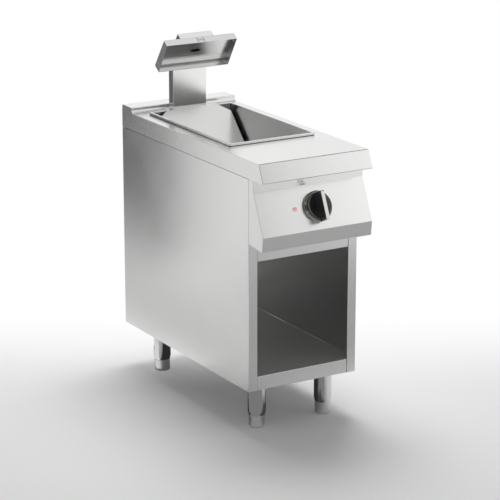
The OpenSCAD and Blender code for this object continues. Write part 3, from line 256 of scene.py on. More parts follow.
class Form:
    """A closed mesh in millimetres that is cut and joined like work on a bench."""

    def __init__(self, mesh: bmesh.types.BMesh) -> None:
        """Keep the mesh, whose normals point out of its material."""
        self.bm = mesh

    @classmethod
    def closed(cls, mesh: bmesh.types.BMesh) -> "Form":
        """Take one closed shell and turn its normals outwards."""
        bmesh.ops.recalc_face_normals(mesh, faces=mesh.faces)
        return cls(mesh)

    @classmethod
    def prism(cls, outline: Outline, axis: Axis, low: float, high: float, ease: float = 0,
              where: Callable[[Point], bool] = lambda p: True) -> "Form":
        """Draw an outline out along an axis.

        Args:
            outline: Closed outline, in the axis's own two coordinates.
            axis: Direction of drawing.
            low: Place of the first end along the axis.
            high: Place of the second end along the axis.
            ease: Radius that rounds the edges of both ends.
            where: Test for the outline points whose end edges are rounded.

        Returns:
            The solid.
        """
        bm = bmesh.new()
        rows = [[bm.verts.new(axis.point(p, t)) for p in outline] for t in (low, high)]
        n = len(outline)
        for row in rows:
            bm.faces.new(row)
        for i in range(n):
            j = (i + 1) % n
            bm.faces.new((rows[0][i], rows[0][j], rows[1][j], rows[1][i]))
        form = cls.closed(bm)
        if ease:
            chosen = {row[i] for row in rows for i, p in enumerate(outline) if where(p)}
            along = axis.value[2]
            form.rounded_off([e for e in bm.edges if chosen.issuperset(e.verts)
                              and abs(e.verts[0].co[along] - e.verts[1].co[along]) < TINY],
                             ease, segments=4)
        return form

    @classmethod
    def block(cls, low: Triple, high: Triple) -> "Form":
        """Make a box from its lowest and its highest corner."""
        (x0, y0, z0), (x1, y1, z1) = low, high
        return cls.prism([(x0, y0), (x1, y0), (x1, y1), (x0, y1)], Axis.Z, z0, z1)

    @classmethod
    def lathe(cls, profile: Outline, steps: int = 72) -> "Form":
        """Turn a profile round the Z axis.

        Args:
            profile: Open or closed run of (radius, height) points; it is closed along the axis
                where its ends lie on it, and back to its start where they don't.
            steps: Number of flats round the turn.

        Returns:
            The turned solid.
        """
        bm = bmesh.new()
        rings = []
        for r, z in profile:
            if r < TINY:
                rings.append([bm.verts.new((0, 0, z))])
            else:
                turns = [2 * math.pi * k / steps for k in range(steps)]
                rings.append([bm.verts.new((r * math.cos(a), r * math.sin(a), z)) for a in turns])
        pairs = list(zip(rings, rings[1:]))
        if profile[0][0] > TINY:
            pairs.append((rings[-1], rings[0]))
        for a, b in pairs:
            for k in range(steps):
                corner = [a[k % len(a)], a[(k + 1) % len(a)], b[(k + 1) % len(b)], b[k % len(b)]]
                face = list(dict.fromkeys(corner))
                if len(face) > 2:
                    bm.faces.new(face)
        return cls.closed(bm)

    @classmethod
    def gathered(cls, solids: Iterable["Form"]) -> "Form":
        """Take separate solids together as one mesh.

        Args:
            solids: Solids that don't touch one another.

        Returns:
            A form that holds them all.
        """
        bm = bmesh.new()
        for solid in solids:
            scrap = bpy.data.meshes.new("scrap")
            solid.bm.to_mesh(scrap)
            bm.from_mesh(scrap)
            bpy.data.meshes.remove(scrap)
        return cls(bm)

    def moved(self, matrix: Matrix) -> "Form":
        """Copy the form to another place, with its normals still outwards where it is mirrored.

        Args:
            matrix: The move.

        Returns:
            The copy.
        """
        bm = self.bm.copy()
        bm.transform(matrix)
        if matrix.determinant() < 0:
            bmesh.ops.reverse_faces(bm, faces=bm.faces)
        return Form(bm)

    def mirrored(self) -> "Form":
        """Return a copy mirrored in the middle plane."""
        return self.moved(Matrix.Scale(-1, 4, (1, 0, 0)))

    def _combined(self, other: "Form", operation: str) -> "Form":
        """Combine the form with another one, as an exact union or difference.

        Args:
            other: The other form, which stays as it is.
            operation: Blender's name for the operation.

        Returns:
            The new form.
        """
        objects = []
        for part in (self, other):
            mesh = bpy.data.meshes.new("bench")
            part.bm.to_mesh(mesh)
            ob = bpy.data.objects.new("bench", mesh)
            bpy.context.scene.collection.objects.link(ob)
            objects.append(ob)
        tool = objects[0].modifiers.new("tool", "BOOLEAN")
        tool.operation, tool.solver, tool.object = operation, "EXACT", objects[1]
        result = evaluated(objects[0])
        bm = bmesh.new()
        bm.from_mesh(result)
        bmesh.ops.remove_doubles(bm, verts=bm.verts, dist=TINY)
        bmesh.ops.dissolve_limit(bm, angle_limit=FLAT, verts=bm.verts, edges=bm.edges)
        for ob in objects:
            mesh = ob.data
            bpy.data.objects.remove(ob)
            bpy.data.meshes.remove(mesh)
        bpy.data.meshes.remove(result)
        return Form(bm)

    def cut(self, *others: "Form") -> "Form":
        """Cut other forms away.

        Args:
            *others: Forms to cut away, in turn.

        Returns:
            The new form.
        """
        form = self
        for other in others:
            form = form._combined(other, "DIFFERENCE")
        return form

    def fused(self, *others: "Form") -> "Form":
        """Fuse the form with others.

        Args:
            *others: Forms to fuse with it, in turn.

        Returns:
            The new form.
        """
        form = self
        for other in others:
            form = form._combined(other, "UNION")
        return form

    def rounded_off(self, edges: list[bmesh.types.BMEdge], radius: float, segments: int) -> None:
        """Round some of the form's own edges."""
        bmesh.ops.bevel(self.bm, geom=edges, offset=radius, segments=segments, profile=0.5,
                        affect="EDGES")

    def eased(self, radius: float, which: Callable[[Vector, Vector], bool],
              segments: int = 3) -> "Form":
        """Round the form's own edges whose two ends pass a test.

        Args:
            radius: Radius of the rounding.
            which: Test for an edge's two ends.
            segments: Number of flats in the rounding.

        Returns:
            The same form.
        """
        self.rounded_off([e for e in self.bm.edges if which(e.verts[0].co, e.verts[1].co)],
                         radius, segments)
        return self

    def piece(self, name: str, body: str, finish: bpy.types.Material, slot: str,
              stands_for: Iterable[str], edge: float = 0.2) -> None:
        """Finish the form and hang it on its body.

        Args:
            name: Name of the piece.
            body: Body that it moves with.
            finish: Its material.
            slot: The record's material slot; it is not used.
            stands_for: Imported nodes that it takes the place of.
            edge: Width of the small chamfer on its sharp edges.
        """
        mesh = bpy.data.meshes.new(name)
        self.bm.to_mesh(mesh)
        mesh.transform(TO_FRAME)
        ob = bpy.data.objects.new(name, mesh)
        bpy.context.scene.collection.objects.link(ob)
        if edge:
            chamfer = ob.modifiers.new("chamfer", "BEVEL")
            chamfer.width, chamfer.segments, chamfer.limit_method = edge * MM, 2, "ANGLE"
            chamfer.angle_limit, chamfer.use_clamp_overlap = CHAMFERED, False
            chamfer.harden_normals = False
        self._applied(ob)
        ob.data.shade_smooth()
        ob.data.set_sharp_from_angle(angle=CREASED)
        weigh = ob.modifiers.new("weigh", "WEIGHTED_NORMAL")
        weigh.keep_sharp, weigh.weight = True, NORMAL_WEIGHT
        final = self._applied(ob)
        final.name = name
        final.materials.clear()
        final.materials.append(finish)
        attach(ob, body)
        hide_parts(*stands_for)
        LOG.info("%s on %s: %d faces", name, body, len(final.polygons))

    @staticmethod
    def _applied(ob: bpy.types.Object) -> bpy.types.Mesh:
        """Turn an object's modifiers into mesh.

        Args:
            ob: The object.

        Returns:
            The object's new mesh.
        """
        before = ob.data
        ob.data = evaluated(ob)
        ob.modifiers.clear()
        bpy.data.meshes.remove(before)
        return ob.data


# Shading


Socket = bpy.types.NodeSocket
Value = float | tuple | Socket


class Graph:
    """A node tree that is wired up by short calls."""

    def __init__(self, tree: bpy.types.NodeTree) -> None:
        """Start with an empty tree."""
        tree.nodes.clear()
        self.tree = tree

    def node(self, kind: str, inputs: dict[str | int, Value] | None = None,
             **settings: object) -> bpy.types.Node:
        """Add a node.

        Args:
            kind: Blender's name for the node type.
            inputs: Values and links for its sockets, by name or number.
            **settings: Attributes of the node itself.

        Returns:
            The new node.
        """
        node = self.tree.nodes.new(kind)
        for name, value in settings.items():
            setattr(node, name, value)
        for name, value in (inputs or {}).items():
            if isinstance(value, Socket):
                self.tree.links.new(value, node.inputs[name])
            else:
                node.inputs[name].default_value = value
        return node

    def math(self, operation: str, *values: Value) -> Socket:
        """Return the result of a math node."""
        return self.node("ShaderNodeMath", dict(enumerate(values)), operation=operation).outputs[0]

    def spread(self, value: Value, low: float, high: float, to_low: float = 0,
               to_high: float = 1) -> Socket:
        """Map a value smoothly from one range to another, and hold it at its ends.

        Args:
            value: Value to map.
            low: Start of its range.
            high: End of its range.
            to_low: Result at the start.
            to_high: Result at the end.

        Returns:
            The mapped value.
        """
        ranges = {"Value": value, "From Min": low, "From Max": high, "To Min": to_low,
                  "To Max": to_high}
        return self.node("ShaderNodeMapRange", ranges, interpolation_type="SMOOTHSTEP").outputs[0]

    def mix(self, factor: Value, low: Value, high: Value) -> Socket:
        """Return a mix of two colours, which are the node's inputs 6 and 7 and its output 2."""
        return self.node("ShaderNodeMix", {0: factor, 6: low, 7: high}, data_type="RGBA").outputs[2]

    def noise(self, vector: Value, scale: Value, detail: float) -> Socket:
        """Return a noise value."""
        return self.node("ShaderNodeTexNoise", {"Vector": vector, "Scale": scale,
                                                "Detail": detail}).outputs[0]

    def place(self) -> Socket:
        """Return the point in the object's own metres."""
        return self.node("ShaderNodeTexCoord").outputs["Object"]


@dataclass(frozen=True)
class Effect:
    """An effect that materials share, as a shader node group.

    Attributes:
        name: Name of the group.
        inputs: Default value of each input.
        outputs: Names of the outputs, which are all values from 0 to 1.
        wire: Function that wires the group and returns its outputs.
    """

    name: str
    inputs: dict[str, float | Triple]
    outputs: tuple[str, ...]
    wire: Callable[[Graph, bpy.types.Node], list[Socket]]

    def group(self) -> bpy.types.NodeTree:
        """Find the group, or build it.

        Returns:
            The group's node tree.
        """
        tree = bpy.data.node_groups.get(self.name)
        if tree:
            return tree
        tree = bpy.data.node_groups.new(self.name, "ShaderNodeTree")
        for name, default in self.inputs.items():
            kind = "NodeSocketVector" if isinstance(default, tuple) else "NodeSocketFloat"
            socket = tree.interface.new_socket(name, in_out="INPUT", socket_type=kind)
            socket.default_value = default
        for name in self.outputs:
            tree.interface.new_socket(name, in_out="OUTPUT", socket_type="NodeSocketFloat")
        graph = Graph(tree)
        entry = graph.node("NodeGroupInput")
        results = self.wire(graph, entry)
        graph.node("NodeGroupOutput", dict(zip(self.outputs, results)))
        return tree

    def put(self, graph: Graph, **values: Value) -> bpy.types.Node:
        """Place the group in a material, with its inputs set by name.

        Args:
            graph: Graph of the material.
            **values: Values of the group's inputs.

        Returns:
            The group's node.
        """
        node = graph.tree.nodes.new("ShaderNodeGroup")
        node.node_tree = self.group()
        for name, value in values.items():
            node.inputs[name].default_value = value
        return node


def wire_grain(graph: Graph, entry: bpy.types.Node) -> list[Socket]:
    """Wire long fine scratches, stretched by the group's input.

    Args:
        graph: Graph of the group.
        entry: The group's input node.

    Returns:
        The lines.
    """
    point = graph.node("ShaderNodeVectorMath", {0: graph.place(), 1: entry.outputs["Stretch"]},
                       operation="MULTIPLY").outputs[0]
    return [graph.spread(graph.noise(point, 1.0, 3), 0.3, 0.7)]


def wire_clouds(graph: Graph, entry: bpy.types.Node) -> list[Socket]:
    """Wire soft patches, as wiping and handling leave them."""
    return [graph.spread(graph.noise(graph.place(), entry.outputs["Scale"], 3), 0.35, 0.65)]


def wire_edge_wear_and_highlight(graph: Graph, entry: bpy.types.Node) -> list[Socket]:
    """Wire a mask of the outer edges, broken up by a fine noise, for a painted highlight along them
    that also stands for rubbing.

    Args:
        graph: Graph of the group.
        entry: The group's input node.

    Returns:
        The mask.
    """
    soft = graph.node("ShaderNodeBevel", {"Radius": entry.outputs["Radius"]}, samples=4).outputs[0]
    own = graph.node("ShaderNodeNewGeometry").outputs["Normal"]
    bend = graph.node("ShaderNodeVectorMath", {0: soft, 1: own},
                      operation="DOT_PRODUCT").outputs["Value"]
    rough = graph.spread(graph.noise(graph.place(), entry.outputs["Scale"], 4), 0.3, 0.7, 0.4, 1)
    return [graph.math("MULTIPLY", graph.spread(bend, 0.99, 0.85), rough)]


def wire_pebbles(graph: Graph, entry: bpy.types.Node) -> list[Socket]:
    """Wire the fine relief of moulded plastic and of cast or coated metal."""
    return [graph.noise(graph.place(), entry.outputs["Scale"], 2)]


GRAIN = Effect("drawn_grain", {"Stretch": (900.0, 900.0, 12.0)}, ("Lines",), wire_grain)
CLOUDS = Effect("soft_clouds", {"Scale": 6.0}, ("Mask",), wire_clouds)
# Painted highlight along the edges, which also stands for rubbing.
EDGE_WEAR_AND_HIGHLIGHT = Effect("edge_wear_and_painted_highlight", {"Radius": 0.001, "Scale": 400.0}, ("Mask",), wire_edge_wear_and_highlight)
PEBBLES = Effect("moulded_relief", {"Scale": 1800.0}, ("Height",), wire_pebbles)


class Grain(Enum):
    """Direction in which a sheet's grain runs, as noise scales along X, Y and Z per metre."""

    ALONG_X = (14.0, 900.0, 900.0)
    ALONG_Y = (900.0, 14.0, 900.0)
    ALONG_Z = (900.0, 900.0, 14.0)


@dataclass(frozen=True)
class Finish:
    """A finish that becomes one material.

    Attributes:
        name: Name of the material.
        colour: Colour of the surface.
        roughness: Mean roughness.
        metallic: One for metal and zero for anything else.
    """

    name: str
    colour: Triple
    roughness: float
    metallic: float = 0.0

    def material(self) -> bpy.types.Material:
        """Find the material, or build it.

        Returns:
            The material.
        """
        made = bpy.data.materials.get(self.name)
        if made:
            return made
        made = bpy.data.materials.new(self.name)
        made.use_nodes = True
        made.diffuse_color = (*self.colour, 1)
        graph = Graph(made.node_tree)
        shader = graph.node("ShaderNodeBsdfPrincipled", {"Metallic": self.metallic})
        self.dress(graph, shader)
        graph.node("ShaderNodeOutputMaterial", {"Surface": shader.outputs[0]})
        return made

    def shade(self, factor: float) -> tuple[float, float, float, float]:
        """Return the colour made lighter or darker."""
        return (*(min(1.0, c * factor) for c in self.colour), 1)

    def dress(self, graph: Graph, shader: bpy.types.Node) -> None:
        """Wire the colour, roughness and relief to the shader.

        Args:
            graph: Graph of the material.
            shader: The material's shader.
        """
        clouds = CLOUDS.put(graph, Scale=20.0).outputs[0]
        relief = PEBBLES.put(graph).outputs[0]
        colour = graph.mix(clouds, self.shade(0.9), self.shade(1.06))
        rough = graph.spread(clouds, 0, 1, self.roughness - 0.04, self.roughness + 0.04)
        self.wire(graph, shader, colour, rough, relief, 0.00002)

    @staticmethod
    def wire(graph: Graph, shader: bpy.types.Node, colour: Socket, roughness: Socket,
             height: Socket, depth: float) -> None:
        """Join colour, roughness and a bump height to the shader.

        Args:
            graph: Graph of the material.
            shader: The material's shader.
            colour: Colour to join.
            roughness: Roughness to join.
            height: Height of the relief, from 0 to 1.
            depth: Depth of the relief, in metres.
        """
        bump = graph.node("ShaderNodeBump", {"Height": height, "Distance": depth, "Strength": 1.0})
        sockets = {"Base Color": colour, "Roughness": roughness, "Normal": bump.outputs[0]}
        for name, socket in sockets.items():
            graph.tree.links.new(socket, shader.inputs[name])


@dataclass(frozen=True)
class SheetSteel(Finish):
    """Stainless sheet with a drawn grain, wiping marks, and edges painted bright as a highlight and
    as rubbing.

    Attributes:
        metallic: One for metal, and less for a sheet that is to look paler.
        grain: Direction of the grain.
        depth: Depth of the grain, in metres.
    """

    metallic: float = 1.0
    grain: Grain = Grain.ALONG_Z
    depth: float = 0.000001

    def dress(self, graph: Graph, shader: bpy.types.Node) -> None:
        """Wire grain, wiping marks and the painted highlight of the rubbed edges to the shader.

        Args:
            graph: Graph of the material.
            shader: The material's shader.
        """
        lines = GRAIN.put(graph, Stretch=self.grain.value).outputs[0]
        clouds = CLOUDS.put(graph, Scale=5.0).outputs[0]
        worn_and_lit_edges = EDGE_WEAR_AND_HIGHLIGHT.put(graph).outputs[0]
        base = graph.mix(lines, self.shade(0.985), self.shade(1.01))
        wiped = graph.mix(graph.math("MULTIPLY", clouds, 0.2), base, self.shade(0.96))
        # Paints a highlight along the edges, which also stands for rubbing.
        colour = graph.mix(graph.math("MULTIPLY", worn_and_lit_edges, 0.5), wiped, self.shade(1.12))
        patches = graph.spread(clouds, 0, 1, self.roughness - 0.008, self.roughness + 0.008)
        rough = graph.math("ADD", patches, graph.spread(lines, 0, 1, -0.012, 0.012))
        self.wire(graph, shader, colour, rough, lines, self.depth)


@dataclass(frozen=True)
class Moulding(Finish):
    """Moulded plastic or rubber with a fine relief, and edges painted paler as a highlight and as
    rubbing.

    Attributes:
        relief: Depth of the relief, in metres.
        lit_rubbed_edge_tone: Brightness of the edges against the colour, painted as a highlight and
            as rubbing.
        coat: Weight of the gloss on the surface.
        coat_ior: Refraction of that gloss.
    """

    relief: float = 0.000015
    lit_rubbed_edge_tone: float = 1.8
    coat: float = 0.0
    coat_ior: float = 1.5

    def dress(self, graph: Graph, shader: bpy.types.Node) -> None:
        """Wire relief, soft patches and the painted highlight of the rubbed edges to the shader.

        Args:
            graph: Graph of the material.
            shader: The material's shader.
        """
        shader.inputs["Coat Weight"].default_value = self.coat
        shader.inputs["Coat Roughness"].default_value = 0.12
        shader.inputs["Coat IOR"].default_value = self.coat_ior
        clouds = CLOUDS.put(graph, Scale=30.0).outputs[0]
        worn_and_lit_edges = EDGE_WEAR_AND_HIGHLIGHT.put(graph, Radius=0.0006, Scale=900.0).outputs[0]
        base = graph.mix(clouds, self.shade(0.9), self.shade(1.1))
        # Paints a highlight along the edges, which also stands for rubbing.
        colour = graph.mix(graph.math("MULTIPLY", worn_and_lit_edges, 0.45), base, self.shade(self.lit_rubbed_edge_tone))
        rough = graph.spread(clouds, 0, 1, self.roughness - 0.03, self.roughness + 0.05)
        self.wire(graph, shader, colour, rough, PEBBLES.put(graph).outputs[0], self.relief)


@dataclass(frozen=True)
class Lens(Moulding):
    """Clear red plastic over a lamp."""

    def dress(self, graph: Graph, shader: bpy.types.Node) -> None:
        """Add some light that passes through the plastic, and the glow of the lamp behind it.

        Args:
            graph: Graph of the material.
            shader: The material's shader.
        """
        super().dress(graph, shader)
        shader.inputs["Emission Color"].default_value = (1.0, 0.36, 0.38, 1)
        shader.inputs["Emission Strength"].default_value = 0.3
        shader.inputs["Subsurface Weight"].default_value = 0.5
        shader.inputs["Subsurface Radius"].default_value = (0.004, 0.001, 0.001)
        shader.inputs["Subsurface Scale"].default_value = 1.0


STEEL = (0.72, 0.718, 0.714)
PANEL_STEEL = SheetSteel("panel_steel", STEEL, 0.24)
CROSS_STEEL = SheetSteel("cross_grain_steel", STEEL, 0.25, grain=Grain.ALONG_X)
TOP_STEEL = SheetSteel("worktop_steel", STEEL, 0.26, grain=Grain.ALONG_X)
POST_STEEL = SheetSteel("post_steel", (0.8, 0.798, 0.794), 0.2)
SHELF_STEEL = SheetSteel("shelf_steel", STEEL, 0.25, metallic=0.5, grain=Grain.ALONG_X)
BASIN_STEEL = SheetSteel("basin_steel", STEEL, 0.25, grain=Grain.ALONG_Y)
LINER_STEEL = SheetSteel("liner_steel", STEEL, 0.24, grain=Grain.ALONG_X)
TUBE_STEEL = SheetSteel("tube_steel", (0.68, 0.678, 0.674), 0.13)
FOOT_STEEL = SheetSteel("foot_steel", (0.56, 0.558, 0.554), 0.13)
SCREW_STEEL = SheetSteel("screw_steel", (0.58, 0.58, 0.57), 0.35)
PLATED_STEEL = SheetSteel("plated_steel", (0.5, 0.5, 0.49), 0.45)
RING_METAL = SheetSteel("ring_metal", (0.27, 0.26, 0.232), 0.15, grain=Grain.ALONG_X)
STRIP_METAL = SheetSteel("strip_metal", (0.66, 0.656, 0.645), 0.3)
BLACK_PLASTIC = Moulding("gloss_black_plastic", (0.008, 0.008, 0.0085), 0.34, coat=1.0,
                         coat_ior=1.6)
DULL_PLASTIC = Moulding("dull_black_plastic", (0.018, 0.018, 0.019), 0.5)
SEAL_RUBBER = Moulding("seal_rubber", (0.03, 0.03, 0.031), 0.6)
BOARD = Finish("insulation_board", (0.75, 0.72, 0.64), 0.9)
TERMINAL_PLASTIC = Moulding("terminal_plastic", (0.72, 0.7, 0.62), 0.5, lit_rubbed_edge_tone=1.1)
ELEMENT_METAL = SheetSteel("element_metal", (0.3, 0.28, 0.27), 0.5)
FOIL = SheetSteel("heater_foil", (0.6, 0.45, 0.25), 0.4, grain=Grain.ALONG_X)
COPPER = SheetSteel("bare_copper", (0.75, 0.42, 0.28), 0.3)
BRASS = SheetSteel("drawn_brass", (0.72, 0.58, 0.3), 0.3)
CABLE = Moulding("cable_sheath", (0.035, 0.035, 0.037), 0.5)
PLUG_PLASTIC = Moulding("grey_plastic", (0.8, 0.8, 0.802), 0.4, lit_rubbed_edge_tone=1.1, coat=1.0,
                        coat_ior=2.4)
RED_LENS = Lens("red_lens", (0.95, 0.5, 0.52), 0.18, relief=0.000004, lit_rubbed_edge_tone=1.05, coat=0.5)


# Sub-assemblies

# Body that carries everything that doesn't move.
BODY = "cabinet"
# How far a cutter reaches past the sheet that it cuts.
PAST = 1.0


def oval_y(length: float, height: float, x: float, z: float, y0: float, y1: float) -> Form:
    """Make a solid with round ends that lies along Y.

    Args:
        length: Length along X.
        height: Height along Z.
        x: Middle in X.
        z: Middle in Z.
        y0: Front end.
        y1: Rear end.

    Returns:
        The solid.
    """
    reach, r = (length - height) / 2, height / 2
    if reach < TINY:
        return Form.prism(circle((x, z), r), Axis.Y, y0, y1)
    outline = arc((x + reach, z), r, -90, 90, 12) + arc((x - reach, z), r, 90, 270, 12)
    return Form.prism(outline, Axis.Y, y0, y1)


@dataclass
class Cabinet:
    """Folded cabinet with an open compartment at its front.

    Attributes:
        half: Half width.
        depth: Depth from the front face to the rear edge.
        low: Height of the underside.
        high: Height of the worktop's lower edge.
        skin: Thickness of the sheets.
        bend: Outer radius of the bends.
        stile: Width of the front stiles.
        lip: Depth of the safe edge behind a stile.
        fold: Width of the rear and top folds.
        rear_inset: Distance of the rear folds before the rear edge.
        shelf: Height of the shelf.
        opening: Height of the upper edge of the opening.
        head: Height of the head rail's upper edge.
        rail: Depth of the rails' folds.
        rail_ends: Left and right end of the rails.
        seam: Gap between panels.
        shelf_joint: Further gap beside the shelf, which shows as a dark line.
        shelf_play: Gap behind the shelf.
        shadow: Gap between the side panels and the worktop's band.
        roof_turn: Height of the roof's edges, which are turned up.
        vent: Length and height of a vent.
        vent_x: Distance of the vents from the middle plane.
        vent_drop: Distance of the upper vents below the worktop's band.
        vent_pitch: Distance between two rows of vents.
        vent_rows: Number of rows of vents.
        cord_x: Distance of the cord's and the gland's holes from the middle plane.
        cord_bore: Diameter of the cord's hole in the back panel.
        cord_rise: Height of that hole above the shelf.
        gland_radius: Radius of the gland's hole in the roof.
        gland_inset: Distance of that hole before the back panel.
        screw_bore: Diameter of the rear screws' holes.
        screw_x: Distance of the rear screws from the middle plane.
        screw_heights: Heights of the rear screws.
    """

    half: float = 200
    depth: float = 836
    low: float = 150
    high: float = 842
    skin: float = 1.2
    bend: float = 1.8
    stile: float = 32
    lip: float = 10
    fold: float = 20
    rear_inset: float = 4
    shelf: float = 196
    opening: float = 573
    head: float = 636.2
    rail: float = 25
    rail_ends: Point = (-167.9, 165.8)
    seam: float = 0.6
    shelf_joint: float = 1.0
    shelf_play: float = 0.3
    shadow: float = 1.2
    roof_turn: float = 18
    vent: Point = (60, 5)
    vent_x: float = 80
    vent_drop: float = 60
    vent_pitch: float = 14
    vent_rows: int = 6
    cord_x: float = 110
    cord_bore: float = 32
    cord_rise: float = 60
    gland_radius: float = 10.2
    gland_inset: float = 60
    screw_bore: float = 4.4
    screw_x: float = 190
    screw_heights: tuple[float, ...] = (210, 400.667, 591.333, 782)

    def build(self) -> None:
        """Build and dress every panel."""
        self.side_panels()
        self.rails()
        self.back()
        self.roof()
        self.screws()

    def screw_holes(self, y: float) -> Form:
        """Make the cutters of the rear screw holes.

        Args:
            y: Place of the sheet's front face.

        Returns:
            The cutters, as one form.
        """
        return Form.gathered([oval_y(self.screw_bore, self.screw_bore, x, z, y - PAST,
                                     y + self.skin + PAST)
                              for x in (-self.screw_x, self.screw_x) for z in self.screw_heights])

    def side_panels(self) -> None:
        """Fold the right side panel from one sheet, and mirror it for the left."""
        rear = self.depth - self.rear_inset
        inner, high = self.half - self.skin, self.high - self.shadow
        path = [(self.half - self.stile, self.lip), (self.half - self.stile, 0), (self.half, 0),
                (self.half, self.depth)]
        sheet = Form.prism(bent_sheet(path, self.skin, self.bend), Axis.Z, self.low, high)
        rear_fold = Form.block((self.half - self.fold, rear - self.skin, self.low),
                               (inner + self.skin / 2, rear, high))
        top_fold = Form.block((self.half - self.fold, self.skin, high - self.skin),
                              (inner + self.skin / 2, rear - self.skin / 2, high))
        panel = sheet.fused(rear_fold, top_fold).cut(self.screw_holes(rear - self.skin))
        steel = PANEL_STEEL.material()
        panel.mirrored().piece("cabinet_side_left", BODY, steel, "steel", ["left_side_panel"])
        panel.piece("cabinet_side_right", BODY, steel, "steel", ["right_side_panel"])

    def rails(self) -> None:
        """Fold the shelf with its front rail, and the head rail."""
        left, right = self.rail_ends
        side = self.half - self.skin - self.seam - self.shelf_joint
        back = self.depth - self.rear_inset - 2 * self.skin - self.shelf_play
        floor = Form.block((-side, self.lip + self.seam + self.skin, self.shelf - self.skin),
                           (side, back, self.shelf))
        start = self.lip + self.seam + 2 * self.skin
        path = [(start, self.shelf), (0, self.shelf), (0, self.low), (self.rail, self.low)]
        front = Form.prism(bent_sheet(path, self.skin, self.bend), Axis.X, left, right)
        front.fused(floor).piece("compartment_shelf", BODY, SHELF_STEEL.material(), "steel",
                                 ["bottom_shelf"])
        path = [(self.rail, self.head), (0, self.head), (0, self.opening),
                (self.rail, self.opening)]
        rail = Form.prism(bent_sheet(path, self.skin, self.bend), Axis.X, left, right)
        ends = [Form.block((x, self.skin / 2, self.opening + self.skin / 2),
                           (x + self.skin, self.lip, self.head - self.skin / 2))
                for x in (left, right - self.skin)]
        rail.fused(*ends).piece("compartment_head_rail", BODY, CROSS_STEEL.material(), "steel",
                                ["head_rail"])

    def back(self) -> None:
        """Cut the back panel with its vents, its cable hole and its screw holes."""
        y = self.depth - self.rear_inset - 2 * self.skin
        inner = self.half - self.skin - self.seam
        plate = Form.block((-inner, y, self.low + self.seam),
                           (inner, y + self.skin, self.high - self.skin - self.seam))
        openings = [oval_y(*self.vent, x, self.high - self.vent_drop - self.vent_pitch * row,
                           y - PAST, y + self.skin + PAST)
                    for x in (-self.vent_x, self.vent_x) for row in range(self.vent_rows)]
        openings.append(oval_y(self.cord_bore, self.cord_bore, self.cord_x,
                               self.shelf + self.cord_rise, y - PAST, y + self.skin + PAST))
        plate.cut(Form.gathered(openings), self.screw_holes(y)).piece(
            "rear_panel", BODY, PANEL_STEEL.material(), "steel", ["back_panel"])

    def roof(self) -> None:
        """Fold the sheet that closes the compartment from above."""
        inner = self.half - self.skin
        z = self.opening + self.skin
        turned = z + self.roof_turn
        back = self.depth - self.rear_inset - 2 * self.skin
        path = [(self.lip + self.seam, z), (back, z), (back, turned)]
        sheet = Form.prism(bent_sheet(path, self.skin, self.bend), Axis.X, -inner, inner)
        wall = Form.block((inner - self.skin, self.lip + self.seam, z + self.skin / 2),
                          (inner, back - self.fold, turned))
        hole = Form.prism(circle((self.cord_x, back - self.gland_inset), self.gland_radius, 48),
                          Axis.Z, z - PAST, z + self.skin + PAST)
        closed = sheet.fused(wall, wall.mirrored())
        closed.cut(hole, self.screw_holes(back - self.skin)).piece(
            "compartment_roof", BODY, PANEL_STEEL.material(), "steel", ["compartment_ceiling"])

    def screws(self) -> None:
        """Turn the rear panel's screws and cut their cross recesses."""
        head = Form.lathe([(0, -7.4), (2, -7.4), (2, 0), (3.5, 0), (3.5, 0.9), (3.2, 1.6),
                           (2.4, 2.05), (0, 2.2)], 32)
        slot = Form.block((-2.0, -0.45, 1.2), (2.0, 0.45, 3))
        cross = slot.fused(slot.moved(Matrix.Rotation(math.radians(90), 4, "Z")))
        screw = head.cut(cross).moved(Matrix.Rotation(math.radians(-90), 4, "X"))
        places = [Matrix.Translation((x, self.depth - self.rear_inset, z))
                  for x in (-self.screw_x, self.screw_x) for z in self.screw_heights]
        Form.gathered([screw.moved(place) for place in places]).piece(
            "rear_panel_screws", BODY, SCREW_STEEL.material(), "fastener",
            ["back_panel_screws"], edge=0)


